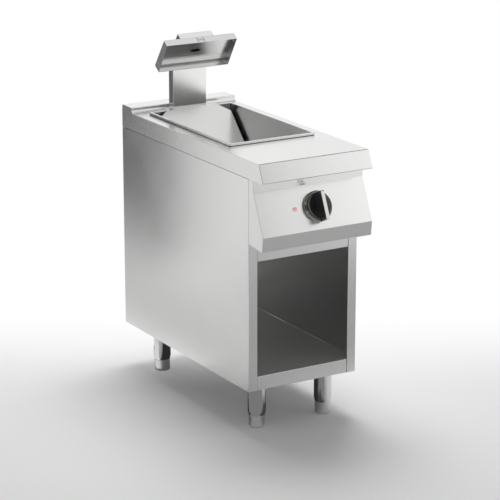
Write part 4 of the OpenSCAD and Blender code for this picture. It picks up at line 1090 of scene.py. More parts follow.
@dataclass
class Feet:
    """Four tubes below the base, each with an adjustable foot.

    Attributes:
        spots: Axis of each foot.
        radius: Outer radius of the tubes.
        wall: Thickness of the tubes' walls.
        show: Height of the foot below the tube.
        top: Height of the tube's upper end.
        neck: Height of the narrower stretch at the tube's lower end.
        neck_in: How much narrower that stretch is.
        spigot: Outer radius of the boss and of the threaded end above it.
        thread: Height of the threaded end.
        boss: Depth of the boss inside the tube.
        foot_radius: Outer radius of a foot.
        foot_wall: Thickness of a foot's wall.
        sole: Thickness of a foot's sole.
        sole_round: Radius of the sole's edge.
        groove_depth: Depth of the groove round a foot.
        stem: Radius of a foot's stem.
        stem_rise: Height of the stem above the tube's upper end.
        hold: How far a foot reaches into its tube.
    """

    spots: dict[str, Point] = field(default_factory=lambda: {
        "front_left": (-125, 76), "front_right": (125, 76),
        "rear_left": (-125, 711), "rear_right": (125, 711)})
    radius: float = 29
    wall: float = 3
    show: float = 40
    top: float = 150
    neck: float = 9
    neck_in: float = 2.5
    spigot: float = 10
    thread: float = 11.5
    boss: float = 27
    foot_radius: float = 25.6
    foot_wall: float = 3
    sole: float = 14
    sole_round: float = 4
    groove_depth: float = 1.6
    stem: float = 6
    stem_rise: float = 13.5
    hold: float = 34

    def build(self) -> None:
        """Turn each tube and its foot, and put them in place."""
        sleeve, foot = Form.lathe(self.sleeve_profile()), Form.lathe(self.foot_profile())
        for spot, (x, y) in self.spots.items():
            place = Matrix.Translation((x, y, 0))
            sleeve.moved(place).piece(f"tube_{spot}", BODY, TUBE_STEEL.material(), "steel",
                                      [f"foot_sleeve_{spot}"], edge=0.3)
            foot.moved(place).piece(f"adjuster_{spot}", f"foot_{spot}", FOOT_STEEL.material(),
                                    "foot_steel", [f"foot_{spot}"], edge=0.3)

    def sleeve_profile(self) -> Outline:
        """Draw the profile of a tube with its cap, boss and threaded end.

        Returns:
            Points of radius and height.
        """
        cup, neck_r, bore = self.radius - self.wall, self.radius - self.neck_in, self.stem + 0.05
        shoulder = self.show + self.neck
        outer = [(neck_r, self.show), (neck_r, shoulder), (self.radius - 0.3, shoulder + 0.5),
                 (self.radius, shoulder + 1.2), (self.radius, self.top - 1),
                 (self.radius - 1, self.top), (self.spigot, self.top),
                 (self.spigot, self.top + self.thread), (bore, self.top + self.thread)]
        inner = [(bore, self.top - self.boss), (self.spigot, self.top - self.boss),
                 (self.spigot, self.top - self.wall), (cup, self.top - self.wall),
                 (cup, self.show)]
        return outer + inner

    def foot_profile(self) -> Outline:
        """Draw the profile of a foot with its stem and the groove at its visible top.

        Returns:
            Points of radius and height.
        """
        r, cup = self.foot_radius, self.foot_radius - self.foot_wall
        deep, groove, rim = r - self.groove_depth, self.show - 2.2, self.show + self.hold
        sole = [(0, 0)] + arc((r - self.sole_round, self.sole_round), self.sole_round, -90, 0, 8)
        ring = [(r, groove), (deep, groove + 0.3), (deep, groove + 1.9), (r, groove + 2.2)]
        stem_top = self.top + self.stem_rise
        return sole + ring + [(r, rim), (cup, rim), (cup, self.sole), (self.stem, self.sole),
                              (self.stem, stem_top), (0, stem_top)]


@dataclass
class Worktop:
    """Folded worktop with its fascia, side bands and rear upstand.

    Attributes:
        half: Half width.
        depth: Distance of the rear edge behind the cabinet's front face.
        top: Height of the surface.
        low: Height of the lower edge.
        high_out: Overhang of the fascia at its upper edge.
        low_out: Overhang of the fascia at its lower edge.
        sheet: Thickness of the sheet.
        fold: Radius of the fascia's folds.
        side_fold: Radius of the folds at the left and right end.
        cove: Radius of the cove under the upstand.
        cove_y: Place where the surface turns up into the cove.
        upstand: Height of the upstand's upper edge.
        lip_y: Place where the panel under the fascia ends.
        facet: Depth and drop of the small facet over the fascia.
        opening: Front left and rear right corner of the basin's opening.
        post_y: Line of the holes under the lamp's post.
        post_holes: Place across and radius of each of these holes.
    """

    half: float = 200
    depth: float = 836
    top: float = 900
    low: float = 842
    high_out: float = 60
    low_out: float = 84
    sheet: float = 2
    fold: float = 3
    side_fold: float = 2
    cove: float = 10
    cove_y: float = 757
    upstand: float = 918.5
    lip_y: float = -16
    facet: Point = (4.3, 1.3)
    opening: tuple[Point, Point] = ((-152.9, 192.1), (152.9, 716.9))
    post_y: float = 741
    post_holes: tuple[Point, ...] = ((-42, 4.2), (42, 4.2), (0, 8))

    def rear_corners(self) -> Outline:
        """Draw the rear corners, from the lowest to the cove, which both outlines share.

        Returns:
            The corners, in the side view.
        """
        cove_rear = self.cove_y + self.cove
        return [(self.depth, self.low), (self.depth, self.upstand), (cove_rear, self.upstand),
                (cove_rear, self.top)]

    def outline(self) -> Outline:
        """Draw the side outline, from the lower rear corner round to the lower front corner.

        Returns:
            The outline, with its folds rounded.
        """
        back, drop = self.facet
        lean = (self.low_out - self.high_out) / (self.top - self.low)
        corners = self.rear_corners() + [(back - self.high_out, self.top),
                                    (-self.high_out - lean * drop, self.top - drop),
                                    (-self.low_out, self.low)]
        return rounded(corners, {1: 2.5, 2: 2.5, 3: self.cove, 4: self.fold, 5: 2.2,
                                 6: self.fold}, 8)

    def build(self) -> None:
        """Fold the worktop and cut its openings."""
        t = self.sheet
        shell = Form.prism(self.outline(), Axis.X, -self.half, self.half, self.side_fold,
                           lambda p: p[1] > self.low + 0.6)
        sharp = self.rear_corners() + [(-self.high_out, self.top), (-self.low_out, self.low)]
        hollow = rounded(inset(sharp, t), {3: self.cove + t, 4: 1.2, 5: 1.2}, 6)
        inside = Form.prism(hollow, Axis.X, -self.half + t, self.half - t)
        below = Form.block((-self.half + t, self.lip_y, self.low - PAST),
                           (self.half - t, self.depth - t, self.low + t + PAST))
        under, over = self.top - 2 * t, self.top + PAST
        opening = Form.block((*self.opening[0], under), (*self.opening[1], over))
        holes = [Form.prism(circle((x, self.post_y), r), Axis.Z, under, over)
                 for x, r in self.post_holes]
        shell.cut(inside, below, opening, Form.gathered(holes)).piece(
            "worktop_sheet", BODY, TOP_STEEL.material(), "steel", ["worktop"])


@dataclass
class Basin:
    """Heated basin with its raised rim, its slide plate and its false bottom.

    Attributes:
        half: Half of the inner width.
        front: Inner face of the front wall.
        rear: Inner face of the rear wall.
        floor: Height of the floor.
        rim: Height of the rim's top.
        rim_low: Height of the rim's lower edge.
        rim_width: Width of the rim's top.
        rim_round: Radius of the rim's outer edge.
        rim_cut: How far the rim's folds are cut back at its corners.
        mouth_round: Radius of the edge between the rim and the walls.
        corner: Radius of the upright inner corners.
        sheet: Thickness of the basin's and the false bottom's sheet.
        play: Gap under the slide plate and under the false bottom.
        slide_x: Half width of the slide plate.
        slide_sheet: Thickness of the slide plate.
        slide_bend: Radius of its bends.
        slide_toe: Depth of its level toe.
        slide_hook: Distance of its upper bend before the rear wall.
        slide_cut: Where its cut corner starts across, and how far it reaches down the slope.
        angle: Slope of the slide plate, in degrees.
        false_gap: Gap round the false bottom.
        false_top: Height of the false bottom's upper face.
        hole_pitch: Distance between two of its holes.
        hole_radius: Radius of its holes.
    """

    half: float = 150
    front: float = 195
    rear: float = 714
    floor: float = 700
    rim: float = 908.5
    rim_low: float = 901.5
    rim_width: float = 8
    rim_round: float = 2.0
    rim_cut: float = 2.6
    mouth_round: float = 2.5
    corner: float = 4
    sheet: float = 1.5
    play: float = 0.3
    slide_x: float = 138.5
    slide_sheet: float = 1.2
    slide_bend: float = 3
    slide_toe: float = 12
    slide_hook: float = 2.5
    slide_cut: Point = (95, 33)
    angle: float = 46
    false_gap: float = 4
    false_top: float = 714.3
    hole_pitch: float = 28
    hole_radius: float = 4.5

    def build(self) -> None:
        """Build the basin and the two pieces that lift out of it."""
        self.tank()
        self.slide()
        self.false_bottom()

    def ring(self, grow: float, low: float, high: float, corner: float = 0) -> Form:
        """Return a block that is the basin's inside grown on all sides.

        Args:
            grow: How far it reaches past the inner walls.
            low: Its lower end.
            high: Its upper end.
            corner: Radius of its upright edges.

        Returns:
            The block.
        """
        x, y0, y1 = self.half + grow, self.front - grow, self.rear + grow
        plan = [(-x, y0), (x, y0), (x, y1), (-x, y1)]
        return Form.prism(rounded(plan, {i: corner for i in range(4)}, 6), Axis.Z, low, high)

    def tank(self) -> None:
        """Weld the tank and fold its rim."""
        t, out, cut = self.sheet, self.rim_width, self.rim_cut

        def on_top(a: Vector, b: Vector) -> bool:
            """True for the edges of the rim's upper face."""
            return min(a.z, b.z) > self.rim - TINY

        def at_mouth(a: Vector, b: Vector) -> bool:
            """Tell the edges round the mouth of the tank.

            Args:
                a: One end of an edge.
                b: Its other end.

            Returns:
                Whether it is such an edge.
            """
            return on_top(a, b) and all(abs(p.x) < self.half + TINY
                                        and self.front - TINY < p.y < self.rear + TINY
                                        for p in (a, b))

        rim = self.ring(out, self.rim_low, self.rim).eased(self.rim_round, on_top, 5)
        walls = self.ring(t, self.floor - t, self.rim - t / 2)
        under = self.ring(out - t, self.rim_low - PAST, self.rim - t).cut(
            self.ring(t, self.rim_low - 2, self.rim))
        corners = [Form.block((x - cut, y - cut, self.rim_low - PAST),
                              (x + cut, y + cut, self.rim - t))
                   for x in (-self.half - out, self.half + out)
                   for y in (self.front - out, self.rear + out)]
        inside = self.ring(0, self.floor, self.rim + PAST, self.corner)
        tank = rim.fused(walls).cut(under, Form.gathered(corners), inside)
        tank.eased(self.mouth_round, at_mouth, 5)
        tank.piece("basin_tank", BODY, BASIN_STEEL.material(), "steel", ["basin"], edge=0.15)

    def slide(self) -> None:
        """Bend the slide plate over the rear rim and cut its upper corners."""
        toe, hook = self.false_top + self.play, self.rim + self.play
        hook_y, end_y = self.rear - self.slide_hook, self.rear + self.rim_width
        slope = math.radians(self.angle)
        run = (hook - toe) / math.tan(slope)
        path = [(hook_y - run - self.slide_toe, toe), (hook_y - run, toe), (hook_y, hook),
                (end_y, hook)]
        plate = Form.prism(bent_sheet(path, self.slide_sheet, self.slide_bend), Axis.X,
                           -self.slide_x, self.slide_x)
        cut_x, cut_down = self.slide_cut
        side = self.slide_x + PAST
        cut_y = cut_down * math.cos(slope)
        past_y = cut_y * (1 + PAST / (self.slide_x - cut_x))
        corner = Form.prism([(cut_x, hook_y), (side, hook_y - past_y), (side, end_y + PAST),
                             (cut_x, end_y + PAST)], Axis.Z, hook - 26, hook + 4)
        plate.cut(corner, corner.mirrored()).piece(
            "slide_plate_sheet", "slide_plate", BASIN_STEEL.material(), "inner_steel",
            ["slide_plate"])

    def false_bottom(self) -> None:
        """Fold and pierce the false bottom."""
        x, t, low = self.half - self.false_gap, self.sheet, self.floor + self.play
        y0, y1 = self.front + self.false_gap, self.rear - self.false_gap
        tray = Form.block((-x, y0, low), (x, y1, self.false_top))
        tray.eased(2, lambda a, b: min(a.z, b.z) > self.false_top - TINY)
        inside = Form.block((-x + t, y0 + t, low - PAST), (x - t, y1 - t, self.false_top - t))
        nx = int((2 * x - 3 * self.hole_radius) // self.hole_pitch)
        ny = int((y1 - y0 - 3 * self.hole_radius) // self.hole_pitch)
        centres = [((i - (nx - 1) / 2) * self.hole_pitch,
                    (y0 + y1) / 2 + (j - (ny - 1) / 2) * self.hole_pitch)
                   for i in range(nx) for j in range(ny)]
        holes = [Form.prism(circle(centre, self.hole_radius, 16), Axis.Z,
                            self.false_top - 2 * t, self.false_top + PAST) for centre in centres]
        tray.cut(inside, Form.gathered(holes)).piece(
            "false_bottom_plate", "false_bottom", BASIN_STEEL.material(), "inner_steel",
            ["false_bottom"], edge=0.12)


@dataclass
class ControlPanel:
    """Folded panel below the fascia, with its pilot light and blanking plug.

    Attributes:
        half: Half width.
        top: Height of the upper edge.
        strip_low: Height of the foot of the upper strip.
        slant_low: Height of the foot of the slanted face.
        low: Height of the lower edge.
        rear_low: Height of the lower edge at the cabinet.
        strip_out: Overhang of the upper strip.
        out: Overhang at the foot of the slanted face.
        low_out: Overhang at the lower edge.
        sheet: Thickness of the sheet.
        gap: Gap between the panel and the cabinet.
        plug_x: Middle of the plug across the upper strip.
        plug_z: Height of the plug's middle.
        plug_slot: Length and height of the plug's slot.
        pilot: Place of the pilot light, across and up the slanted face.
        pilot_bore: Radius of the pilot light's hole.
        knob: Place of the knob's axis, across and up the slanted face.
        knob_bore: Radius of the hole round the knob's shaft.
        fixing: Distance of the regulator's two screws from that axis.
        fixing_bore: Radius of their holes.
    """

    half: float = 200
    top: float = 841.7
    strip_low: float = 805.7
    slant_low: float = 673.7
    low: float = 626.2
    rear_low: float = 636.2
    strip_out: float = 26
    out: float = 85
    low_out: float = 80
    sheet: float = 1.5
    gap: float = 1.0
    plug_x: float = -31
    plug_z: float = 820
    plug_slot: Point = (22, 7)
    pilot: Point = (-68, 73.5)
    pilot_bore: float = 5.2
    knob: Point = (13, 72)
    knob_bore: float = 4.5
    fixing: float = 14
    fixing_bore: float = 2.2

    @property
    def slope(self) -> float:
        """Return the lean of the slanted face, in radians."""
        return math.atan2(self.out - self.strip_out, self.strip_low - self.slant_low)

    def on_slant(self, x: float, s: float) -> Matrix:
        """Find a place on the slanted face, with Z out of it.

        Args:
            x: Distance to the right of the middle plane.
            s: Distance up the face from its foot.

        Returns:
            The place and its direction.
        """
        return (Matrix.Translation((x, -self.out, self.slant_low))
                @ Matrix.Rotation(math.radians(90) - self.slope, 4, "X")
                @ Matrix.Translation((0, s, 0)))

    def build(self) -> None:
        """Fold the panel and fit its small parts."""
        self.panel()
        self.plug()
        self.lens()

    def panel(self) -> None:
        """Fold the panel with its closed ends and cut its holes."""
        t = self.sheet
        corners = [(-self.out, self.slant_low), (-self.low_out, self.low),
                   (-self.gap, self.rear_low), (-self.gap, self.top), (-self.strip_out, self.top),
                   (-self.strip_out, self.strip_low)]
        shell = Form.prism(rounded(corners, {0: 3, 1: 2.5, 4: 2, 5: 3}, 6), Axis.X,
                           -self.half, self.half, 1, lambda p: p[0] < -self.gap - 0.6)
        inside = Form.prism(inset(corners, t), Axis.X, -self.half + t, self.half - t)
        behind = Form.block((-self.half + t, -self.gap - t - PAST, self.rear_low + t),
                            (self.half - t, PAST, self.top - t))
        x, s = self.knob
        bores = ((x, s, self.knob_bore), (x, s - self.fixing, self.fixing_bore),
                 (x, s + self.fixing, self.fixing_bore), (*self.pilot, self.pilot_bore))
        holes = [Form.prism(circle((0, 0), r), Axis.Z, -t - PAST, PAST).moved(self.on_slant(x, s))
                 for x, s, r in bores]
        slot = oval_y(*self.plug_slot, self.plug_x, self.plug_z, -self.strip_out - PAST,
                      -self.strip_out + t + PAST)
        shell.cut(inside, behind, Form.gathered(holes), slot).piece(
            "panel_sheet", BODY, CROSS_STEEL.material(), "steel", ["control_panel"])

    def plug(self) -> None:
        """Mould the oval plug with its dished face and its inner flange."""
        y, behind = -self.strip_out, self.sheet - self.strip_out
        face = oval_y(21.6, 6.6, self.plug_x, self.plug_z, y + 0.4, behind + 0.6)
        dish = oval_y(18.6, 3.6, self.plug_x, self.plug_z, y, y + 1.0)
        flange = oval_y(25, 10, self.plug_x, self.plug_z, behind, behind + 1.2)
        face.cut(dish).fused(flange).piece("panel_plug_cap", BODY, PLUG_PLASTIC.material(),
                                           "black_plastic", ["panel_plug"])

    def lens(self) -> None:
        """Turn the pilot lens with its stepped flange and domed front."""
        dome = arc((0, -2.2), 8.05, 39, 90, 10)
        dome[-1] = (0, dome[-1][1])
        profile = [(0, 0), (7, 0), (7, 1.4), (6.6, 2), (6.3, 2), (6.2, 2.6)] + dome
        Form.lathe(profile, 48).moved(self.on_slant(*self.pilot)).piece(
            "pilot_lens_cap", BODY, RED_LENS.material(), "lens", ["pilot_lens"], edge=0)


@dataclass
class Knob:
    """Regulator knob: metal ring, black dished body with a grip bar, and a light strip.

    Attributes:
        place: Place and direction of the knob's axis.
        ring: Outer radius of the ring.
        body: Radius of the black body.
        gap: Gap between the ring and the panel.
        ring_height: Height of the ring.
        chamfer: Width of the ring's chamfer.
        dish: Height of the rim of the dish.
        deep: Depth of the dish.
        rings: Number of steps in the dish's profile.
        flats: Number of flats round each turned piece.
        bar: Width, length and height of the grip bar.
        bar_low: Distance of the bar's middle below the axis.
        lean: How far each end of the bar leans out at its foot.
        strip: Thickness of the light strip.
        strip_in: Distance of the strip's long sides inside the bar's.
        shaft: Radius of the bore for the shaft.
    """

    place: Matrix
    ring: float = 49
    body: float = 43
    gap: float = 1
    ring_height: float = 13
    chamfer: float = 4
    dish: float = 20
    deep: float = 6
    rings: int = 16
    flats: int = 128
    bar: Triple = (13, 88, 50)
    bar_low: float = 5
    lean: float = 2
    strip: float = 0.8
    strip_in: float = 0.6
    shaft: float = 3.05

    def build(self) -> None:
        """Turn the ring, and mould the body with its bar and strip."""
        width, length, height = self.bar
        lower = Matrix.Translation((0, -self.bar_low, 0))
        self.turned_ring().moved(self.place).piece(
            "knob_metal_ring", "knob", RING_METAL.material(), "knob_ring", ["knob_ring"], edge=0.3)
        foot, tip = length / 2 + self.lean, self.ring_height + 0.3
        ends = [(-foot, tip), (foot, tip), (length / 2, height), (-length / 2, height)]
        bar = Form.prism(ends, Axis.X, -width / 2, width / 2).moved(lower)
        core = Form.block((-width / 2, -self.body + 1.5, self.dish - self.deep - PAST),
                          (width / 2, self.body - 1.5, height))
        bar = bar.fused(core).eased(1.0, lambda a, b: max(a.z, b.z) > height - TINY)
        bore = Form.prism(circle((0, 0), self.shaft, 48), Axis.Z, 0, self.dish - self.deep - 1.7)
        self.turned_body().fused(bar).cut(bore).moved(self.place).piece(
            "knob_grip", "knob", BLACK_PLASTIC.material(), "knob_body", ["knob_body"], edge=0.25)
        side = width / 2 - self.strip_in
        strip = Form.block((-side, -length / 2, height), (side, length / 2, height + self.strip))
        strip.moved(self.place @ lower).piece(
            "knob_light_strip", "knob", STRIP_METAL.material(), "knob_strip", ["knob_strip"],
            edge=0.2)

    def turned_ring(self) -> Form:
        """Turn the ring with its chamfered edge.

        Returns:
            The ring, round the Z axis.
        """
        inner, c = self.body + 0.05, self.chamfer
        return Form.lathe([(inner, self.gap), (self.ring - 0.4, self.gap),
                           (self.ring, self.gap + 0.4), (self.ring, self.ring_height - c),
                           (self.ring - c, self.ring_height), (inner, self.ring_height)],
                          self.flats)

    def turned_body(self) -> Form:
        """Turn the body with its dish, before the bar is fused to it.

        Returns:
            The body, round the Z axis.
        """
        dished = [((self.body - 3) * i / self.rings,
                   self.dish - self.deep * math.cos(math.radians(90 * i / self.rings)))
                  for i in range(self.rings + 1)]
        rim = [(self.body - 1.5, self.dish), (self.body - 0.5, self.dish - 0.5),
               (self.body, self.dish - 1.5)]
        foot = self.gap + 2
        return Form.lathe(dished + rim + [(self.body, foot), (0, foot)], self.flats)


@dataclass
class HeatLamp:
    """Bent post with the radiant hood at its upper end.

    The hood is drawn on the arm: Z runs up the arm and Y is negative out of the hood's mouth.

    Attributes:
        base: Height of the worktop.
        front: Front face of the post.
        rear: Rear face of the post.
        half: Half width of the post.
        bend: Height of the front bend.
        arm: Depth and length of the tilted arm.
        tilt: Lean of the arm, in degrees.
        sheet: Thickness of the post's sheet.
        cover: Thickness of the post's rear cover.
        hood_half: Half width of the hood.
        rise: Height of the hood's lower edge up the arm.
        hood_height: Height of the hood's back.
        upper: Depth of the hood at its upper wall.
        lower: Depth of the hood at its lower wall.
        skin: Thickness of the hood's sheets.
        slot: Length and height of the slot for the cable.
        slot_up: Height of the slot's middle up the arm.
        screw_bore: Diameter of the hood screws' holes.
        screw_x: Distance of these screws from the middle plane.
        screw_up: Heights of these screws up the arm.
        rivets: Place of each rivet in the hood's side walls.
        rivet_bore: Radius of the rivets' holes.
        liner_half: Half width of the reflector.
        liner_y: Place of the reflector's face.
        liner_ends: Lower and upper end of that face.
    """

    base: float = 900
    front: float = 726
    rear: float = 756
    half: float = 63.5
    bend: float = 1063
    arm: Point = (32, 105)
    tilt: float = 35
    sheet: float = 1.5
    cover: float = 1.2
    hood_half: float = 133
    rise: float = 0.5
    hood_height: float = 116
    upper: float = 27
    lower: float = 33
    skin: float = 1.2
    slot: Point = (38, 12)
    slot_up: float = 58.5
    screw_bore: float = 4.4
    screw_x: float = 46
    screw_up: Point = (24.5, 92.5)
    rivets: tuple[Point, ...] = ((-14, 22.5), (-14, 94.5))
    rivet_bore: float = 2.2
    liner_half: float = 131.5
    liner_y: float = -6.2
    liner_ends: Point = (6.7, 115.0)

    @property
    def on_arm(self) -> Matrix:
        """Return the arm's place: Z up the arm, and Y negative out of the hood's mouth."""
        return (Matrix.Translation((0, self.front, self.bend))
                @ Matrix.Rotation(math.radians(self.tilt), 4, "X"))

    def arm_point(self, y: float, z: float) -> Point:
        """Return a point of the arm in the side view."""
        p = self.on_arm @ Vector((0, y, z))
        return p.y, p.z

    def build(self) -> None:
        """Build the post and the hood."""
        self.post()
        self.hood()
        self.liner()
        self.clip()
        self.rivet_heads()

    def rear_edge(self, past: float = 0) -> Outline:
        """Draw the rear edge of the post in the side view.

        Args:
            past: How much longer it gets at each end.

        Returns:
            The edge, from its foot upwards.
        """
        top = self.arm_point(self.arm[0], self.arm[1])
        up = self.arm_point(self.arm[0], self.arm[1] + 10)
        step = ((up[0] - top[0]) / 10, (up[1] - top[1]) / 10)
        reach = (top[0] - self.rear) / step[0]
        bend = (self.rear, top[1] - reach * step[1])
        return [(self.rear, self.base - past), bend,
                (top[0] + past * step[0], top[1] + past * step[1])]

    def passages(self, y0: float, y1: float) -> list[Form]:
        """Make the cutters of the cable's slot and of the screw holes.

        Args:
            y0: Front end of the cutters.
            y1: Rear end of the cutters.

        Returns:
            The cutters, placed on the arm's own axes.
        """
        holes = [oval_y(self.screw_bore, self.screw_bore, x, z, y0, y1)
                 for x in (-self.screw_x, self.screw_x) for z in self.screw_up]
        return [oval_y(*self.slot, 0, self.slot_up, y0, y1)] + holes

    def post(self) -> None:
        """Fold the post and its rear cover."""
        _, bend_rear, top_rear = self.rear_edge()
        corners = [(self.front, self.base), (self.rear, self.base), bend_rear, top_rear,
                   self.arm_point(0, self.arm[1]), (self.front, self.bend)]

        def folded(p: Point) -> bool:
            """True for the points where the front and the sides meet in a fold."""
            on_front = p[0] < self.rear - 5 and p[1] < self.bend + 1 or p[1] > self.bend
            return on_front and (Vector(p) - Vector(top_rear)).length > 2 and p != bend_rear

        outer = Form.prism(rounded(corners, {5: 3}, 6), Axis.X, -self.half, self.half, 1.2, folded)
        t = self.sheet
        inner_top, inner_bend = inset(corners, t)[4:]
        up = Vector(self.arm_point(0, 1)) - Vector(corners[5])
        above = tuple(Vector(top_rear) - t * up + Vector((PAST, PAST * 0.7)))
        hollow = [(self.front + t, self.base - PAST), (self.rear + PAST, self.base - PAST),
                  (bend_rear[0] + PAST, bend_rear[1]), above, inner_top, inner_bend]
        inside = Form.prism(hollow, Axis.X, -self.half + t, self.half - t)
        edge = self.rear_edge(PAST)
        behind = Form.prism(beside(edge, -3) + beside(edge, self.cover)[::-1], Axis.X,
                            -self.half - PAST, self.half + PAST)
        holes = Form.gathered(self.passages(-PAST, t + PAST)).moved(self.on_arm)
        outer.cut(inside, behind, holes).piece("post_sheet", BODY, POST_STEEL.material(), "steel",
                                               ["lamp_post"])
        cover = Form.prism(bent_sheet(self.rear_edge(), self.cover, 3), Axis.X, -self.half,
                           self.half)
        cover.piece("post_rear_cover", BODY, PANEL_STEEL.material(), "steel", ["post_cover"])

    def hood(self) -> None:
        """Fold the hood, open at its mouth."""
        low, high, x, t = self.rise, self.rise + self.hood_height, self.hood_half, self.skin
        corners = [(-60, low), (0, low), (0, high), (-60, high)]
        outer = Form.prism(rounded(corners, {1: 2, 2: 2}, 6), Axis.X, -x, x, 1.8)
        mouth = Form.prism([(-self.lower, low), (-self.upper, high), (-self.upper, high + 5),
                            (-70, high + 5), (-70, low - 5), (-self.lower, low - 5)], Axis.X,
                           -x - PAST, x + PAST)
        hollow = [(-70, low + t), (-t, low + t), (-t, high - t), (-70, high - t)]
        inside = Form.prism(rounded(hollow, {1: 0.8, 2: 0.8}, 4), Axis.X, -x + t, x - t)
        turn = Matrix.Rotation(math.radians(90), 4, "Y")
        bore = Form.prism(circle((0, 0), self.rivet_bore), Axis.Z, -2 * t, 2 * t)
        bores = [bore.moved(Matrix.Translation((side * (x - t / 2), y, z)) @ turn)
                 for side in (-1, 1) for y, z in self.rivets]
        holes = Form.gathered(self.passages(-t - PAST, PAST) + bores)
        outer.cut(mouth, inside, holes).moved(self.on_arm).piece(
            "hood_shell", BODY, CROSS_STEEL.material(), "steel", ["lamp_hood"], edge=0.15)

    def liner(self) -> None:
        """Bend the reflector sheet with its ledge and cut its slot."""
        y, (low, high) = self.liner_y, self.liner_ends
        path = [(-1.2, high), (y, high), (y, low), (-1.2, low)]
        sheet = Form.prism(bent_sheet(path, 1, 3.6), Axis.X, -self.liner_half, self.liner_half)
        ledge = Form.block((-126, y - 2.4, low + 3.4), (126, y + 0.5, low + 4.4))
        slot = oval_y(*self.slot, 0, self.slot_up, y - PAST, y + 2)
        sheet.fused(ledge).cut(slot).moved(self.on_arm).piece(
            "hood_reflector", BODY, LINER_STEEL.material(), "inner_steel", ["hood_liner"],
            edge=0.15)

    def clip(self) -> None:
        """Build the small clip on the hood's upper wall."""
        bar = Form.block((-13, -3, 0), (13, 3, 1.5)).eased(0.5, lambda a, b: min(a.z, b.z) > 1.4)
        end = Form.block((10, -10, 0), (13, 10, 2.5)).eased(0.6, lambda a, b: min(a.z, b.z) > 2.4)
        stud = Form.lathe([(0, 0), (2.6, 0), (2.6, 2.4), (2.2, 2.9), (1.2, 3), (0, 3)], 24)
        place = self.on_arm @ Matrix.Translation((0, -self.upper / 2, self.rise + self.hood_height))
        bar.fused(end, end.mirrored(), stud).moved(place).piece(
            "hood_top_clip", BODY, SCREW_STEEL.material(), "steel", ["hood_clip"], edge=0.1)

    def rivet_heads(self) -> None:
        """Set the domed rivets in the hood's side walls."""
        rivet = Form.lathe([(0, -1), (2, -1), (3.2, -0.75), (4, -0.2), (4, 0), (2, 0), (2, 1.2),
                            (0, 1.2)], 32)
        turn = Matrix.Rotation(math.radians(90), 4, "Y")
        right = [rivet.moved(Matrix.Translation((self.hood_half - self.skin, y, z)) @ turn)
                 for y, z in self.rivets]
        heads = Form.gathered(right + [head.mirrored() for head in right])
        heads.moved(self.on_arm).piece("hood_rivet_heads", BODY, SCREW_STEEL.material(),
                                       "fastener", ["hood_rivets"], edge=0)


@dataclass
class Fittings:
    """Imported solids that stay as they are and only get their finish.

    Attributes:
        finishes: Finish of each of the record's material slots.
    """

    finishes: dict[str, Finish] = field(default_factory=lambda: {
        "steel": PLATED_STEEL, "inner_steel": PLATED_STEEL, "foot_steel": FOOT_STEEL,
        "fastener": SCREW_STEEL, "knob_ring": RING_METAL, "knob_body": BLACK_PLASTIC,
        "knob_strip": STRIP_METAL, "lens": RED_LENS, "black_plastic": DULL_PLASTIC,
        "regulator": TERMINAL_PLASTIC, "terminals": TERMINAL_PLASTIC, "seal": SEAL_RUBBER,
        "board": BOARD, "element": ELEMENT_METAL, "foil": FOIL, "copper": COPPER,
        "brass": BRASS, "wire": CABLE})

    def build(self) -> None:
        """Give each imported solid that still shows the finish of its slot."""
        for name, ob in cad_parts.items():
            if ob.hide_render:
                continue
            for holder in ob.material_slots:
                slot = holder.material.name.split(".")[0]
                holder.material = self.finishes[slot].material()
                LOG.info("%s: %s", name, holder.material.name)


# Surroundings, in metres


def level(height: float, *points: Point) -> tuple[Triple, ...]:
    """Return points of the plan, all at one height."""
    return tuple((x, y, height) for x, y in points)


def upright(low: float, high: float, start: Point, end: Point) -> tuple[Triple, ...]:
    """Return the corners of an upright rectangle that stands between two points of the plan."""
    return (*level(low, start, end), *level(high, end, start))


def white_glow(graph: Graph, tone: float = 1) -> Socket:
    """Return a shader that glows in a grey tone, where one is white."""
    return graph.node("ShaderNodeEmission", {"Color": (tone, tone, tone, 1),
                                             "Strength": 1.0}).outputs[0]


@dataclass(frozen=True)
class Lamp:
    """A soft rectangular lamp.

    Attributes:
        name: Its name.
        size: Its two sides.
        power: Its power, in watts.
        at: Its place.
        aim: The point that it faces.
        in_metal: Whether polished metal mirrors it.
    """

    name: str
    size: Point
    power: float
    at: Triple
    aim: Triple
    in_metal: bool

    def hang(self) -> None:
        """Add the lamp to the scene."""
        data = bpy.data.lights.new(self.name, "AREA")
        data.shape, data.energy = "RECTANGLE", self.power
        data.size, data.size_y = self.size
        ob = bpy.data.objects.new(self.name, data)
        ob.location = self.at
        direction = Vector(self.aim) - Vector(self.at)
        ob.rotation_euler = direction.to_track_quat("-Z", "Y").to_euler()
        ob.visible_camera = False
        ob.visible_glossy = self.in_metal
        bpy.context.scene.collection.objects.link(ob)


@dataclass(frozen=True)
class Screen:
    """A flat screen that glows, lights nothing and only shows in polished metal; there it paints
    dark reflections of shade and shadow, and pale reflections of light.

    Attributes:
        name: Its name.
        tone: Its brightness.
        corners: Its corners, in turn.
    """

    name: str
    tone: float
    corners: tuple[Triple, ...]

    def stand(self) -> None:
        """Add the screen to the scene."""
        mesh = bpy.data.meshes.new(self.name)
        bm = bmesh.new()
        bm.faces.new([bm.verts.new(corner) for corner in self.corners])
        bm.to_mesh(mesh)
        bm.free()
        ob = bpy.data.objects.new(self.name, mesh)
        bpy.context.scene.collection.objects.link(ob)
        ob.visible_camera = ob.visible_diffuse = False
        ob.visible_shadow = ob.visible_transmission = False
        paint = bpy.data.materials.new(self.name)
        paint.use_nodes = True
        graph = Graph(paint.node_tree)
        graph.node("ShaderNodeOutputMaterial", {"Surface": white_glow(graph, self.tone)})
        mesh.materials.append(paint)


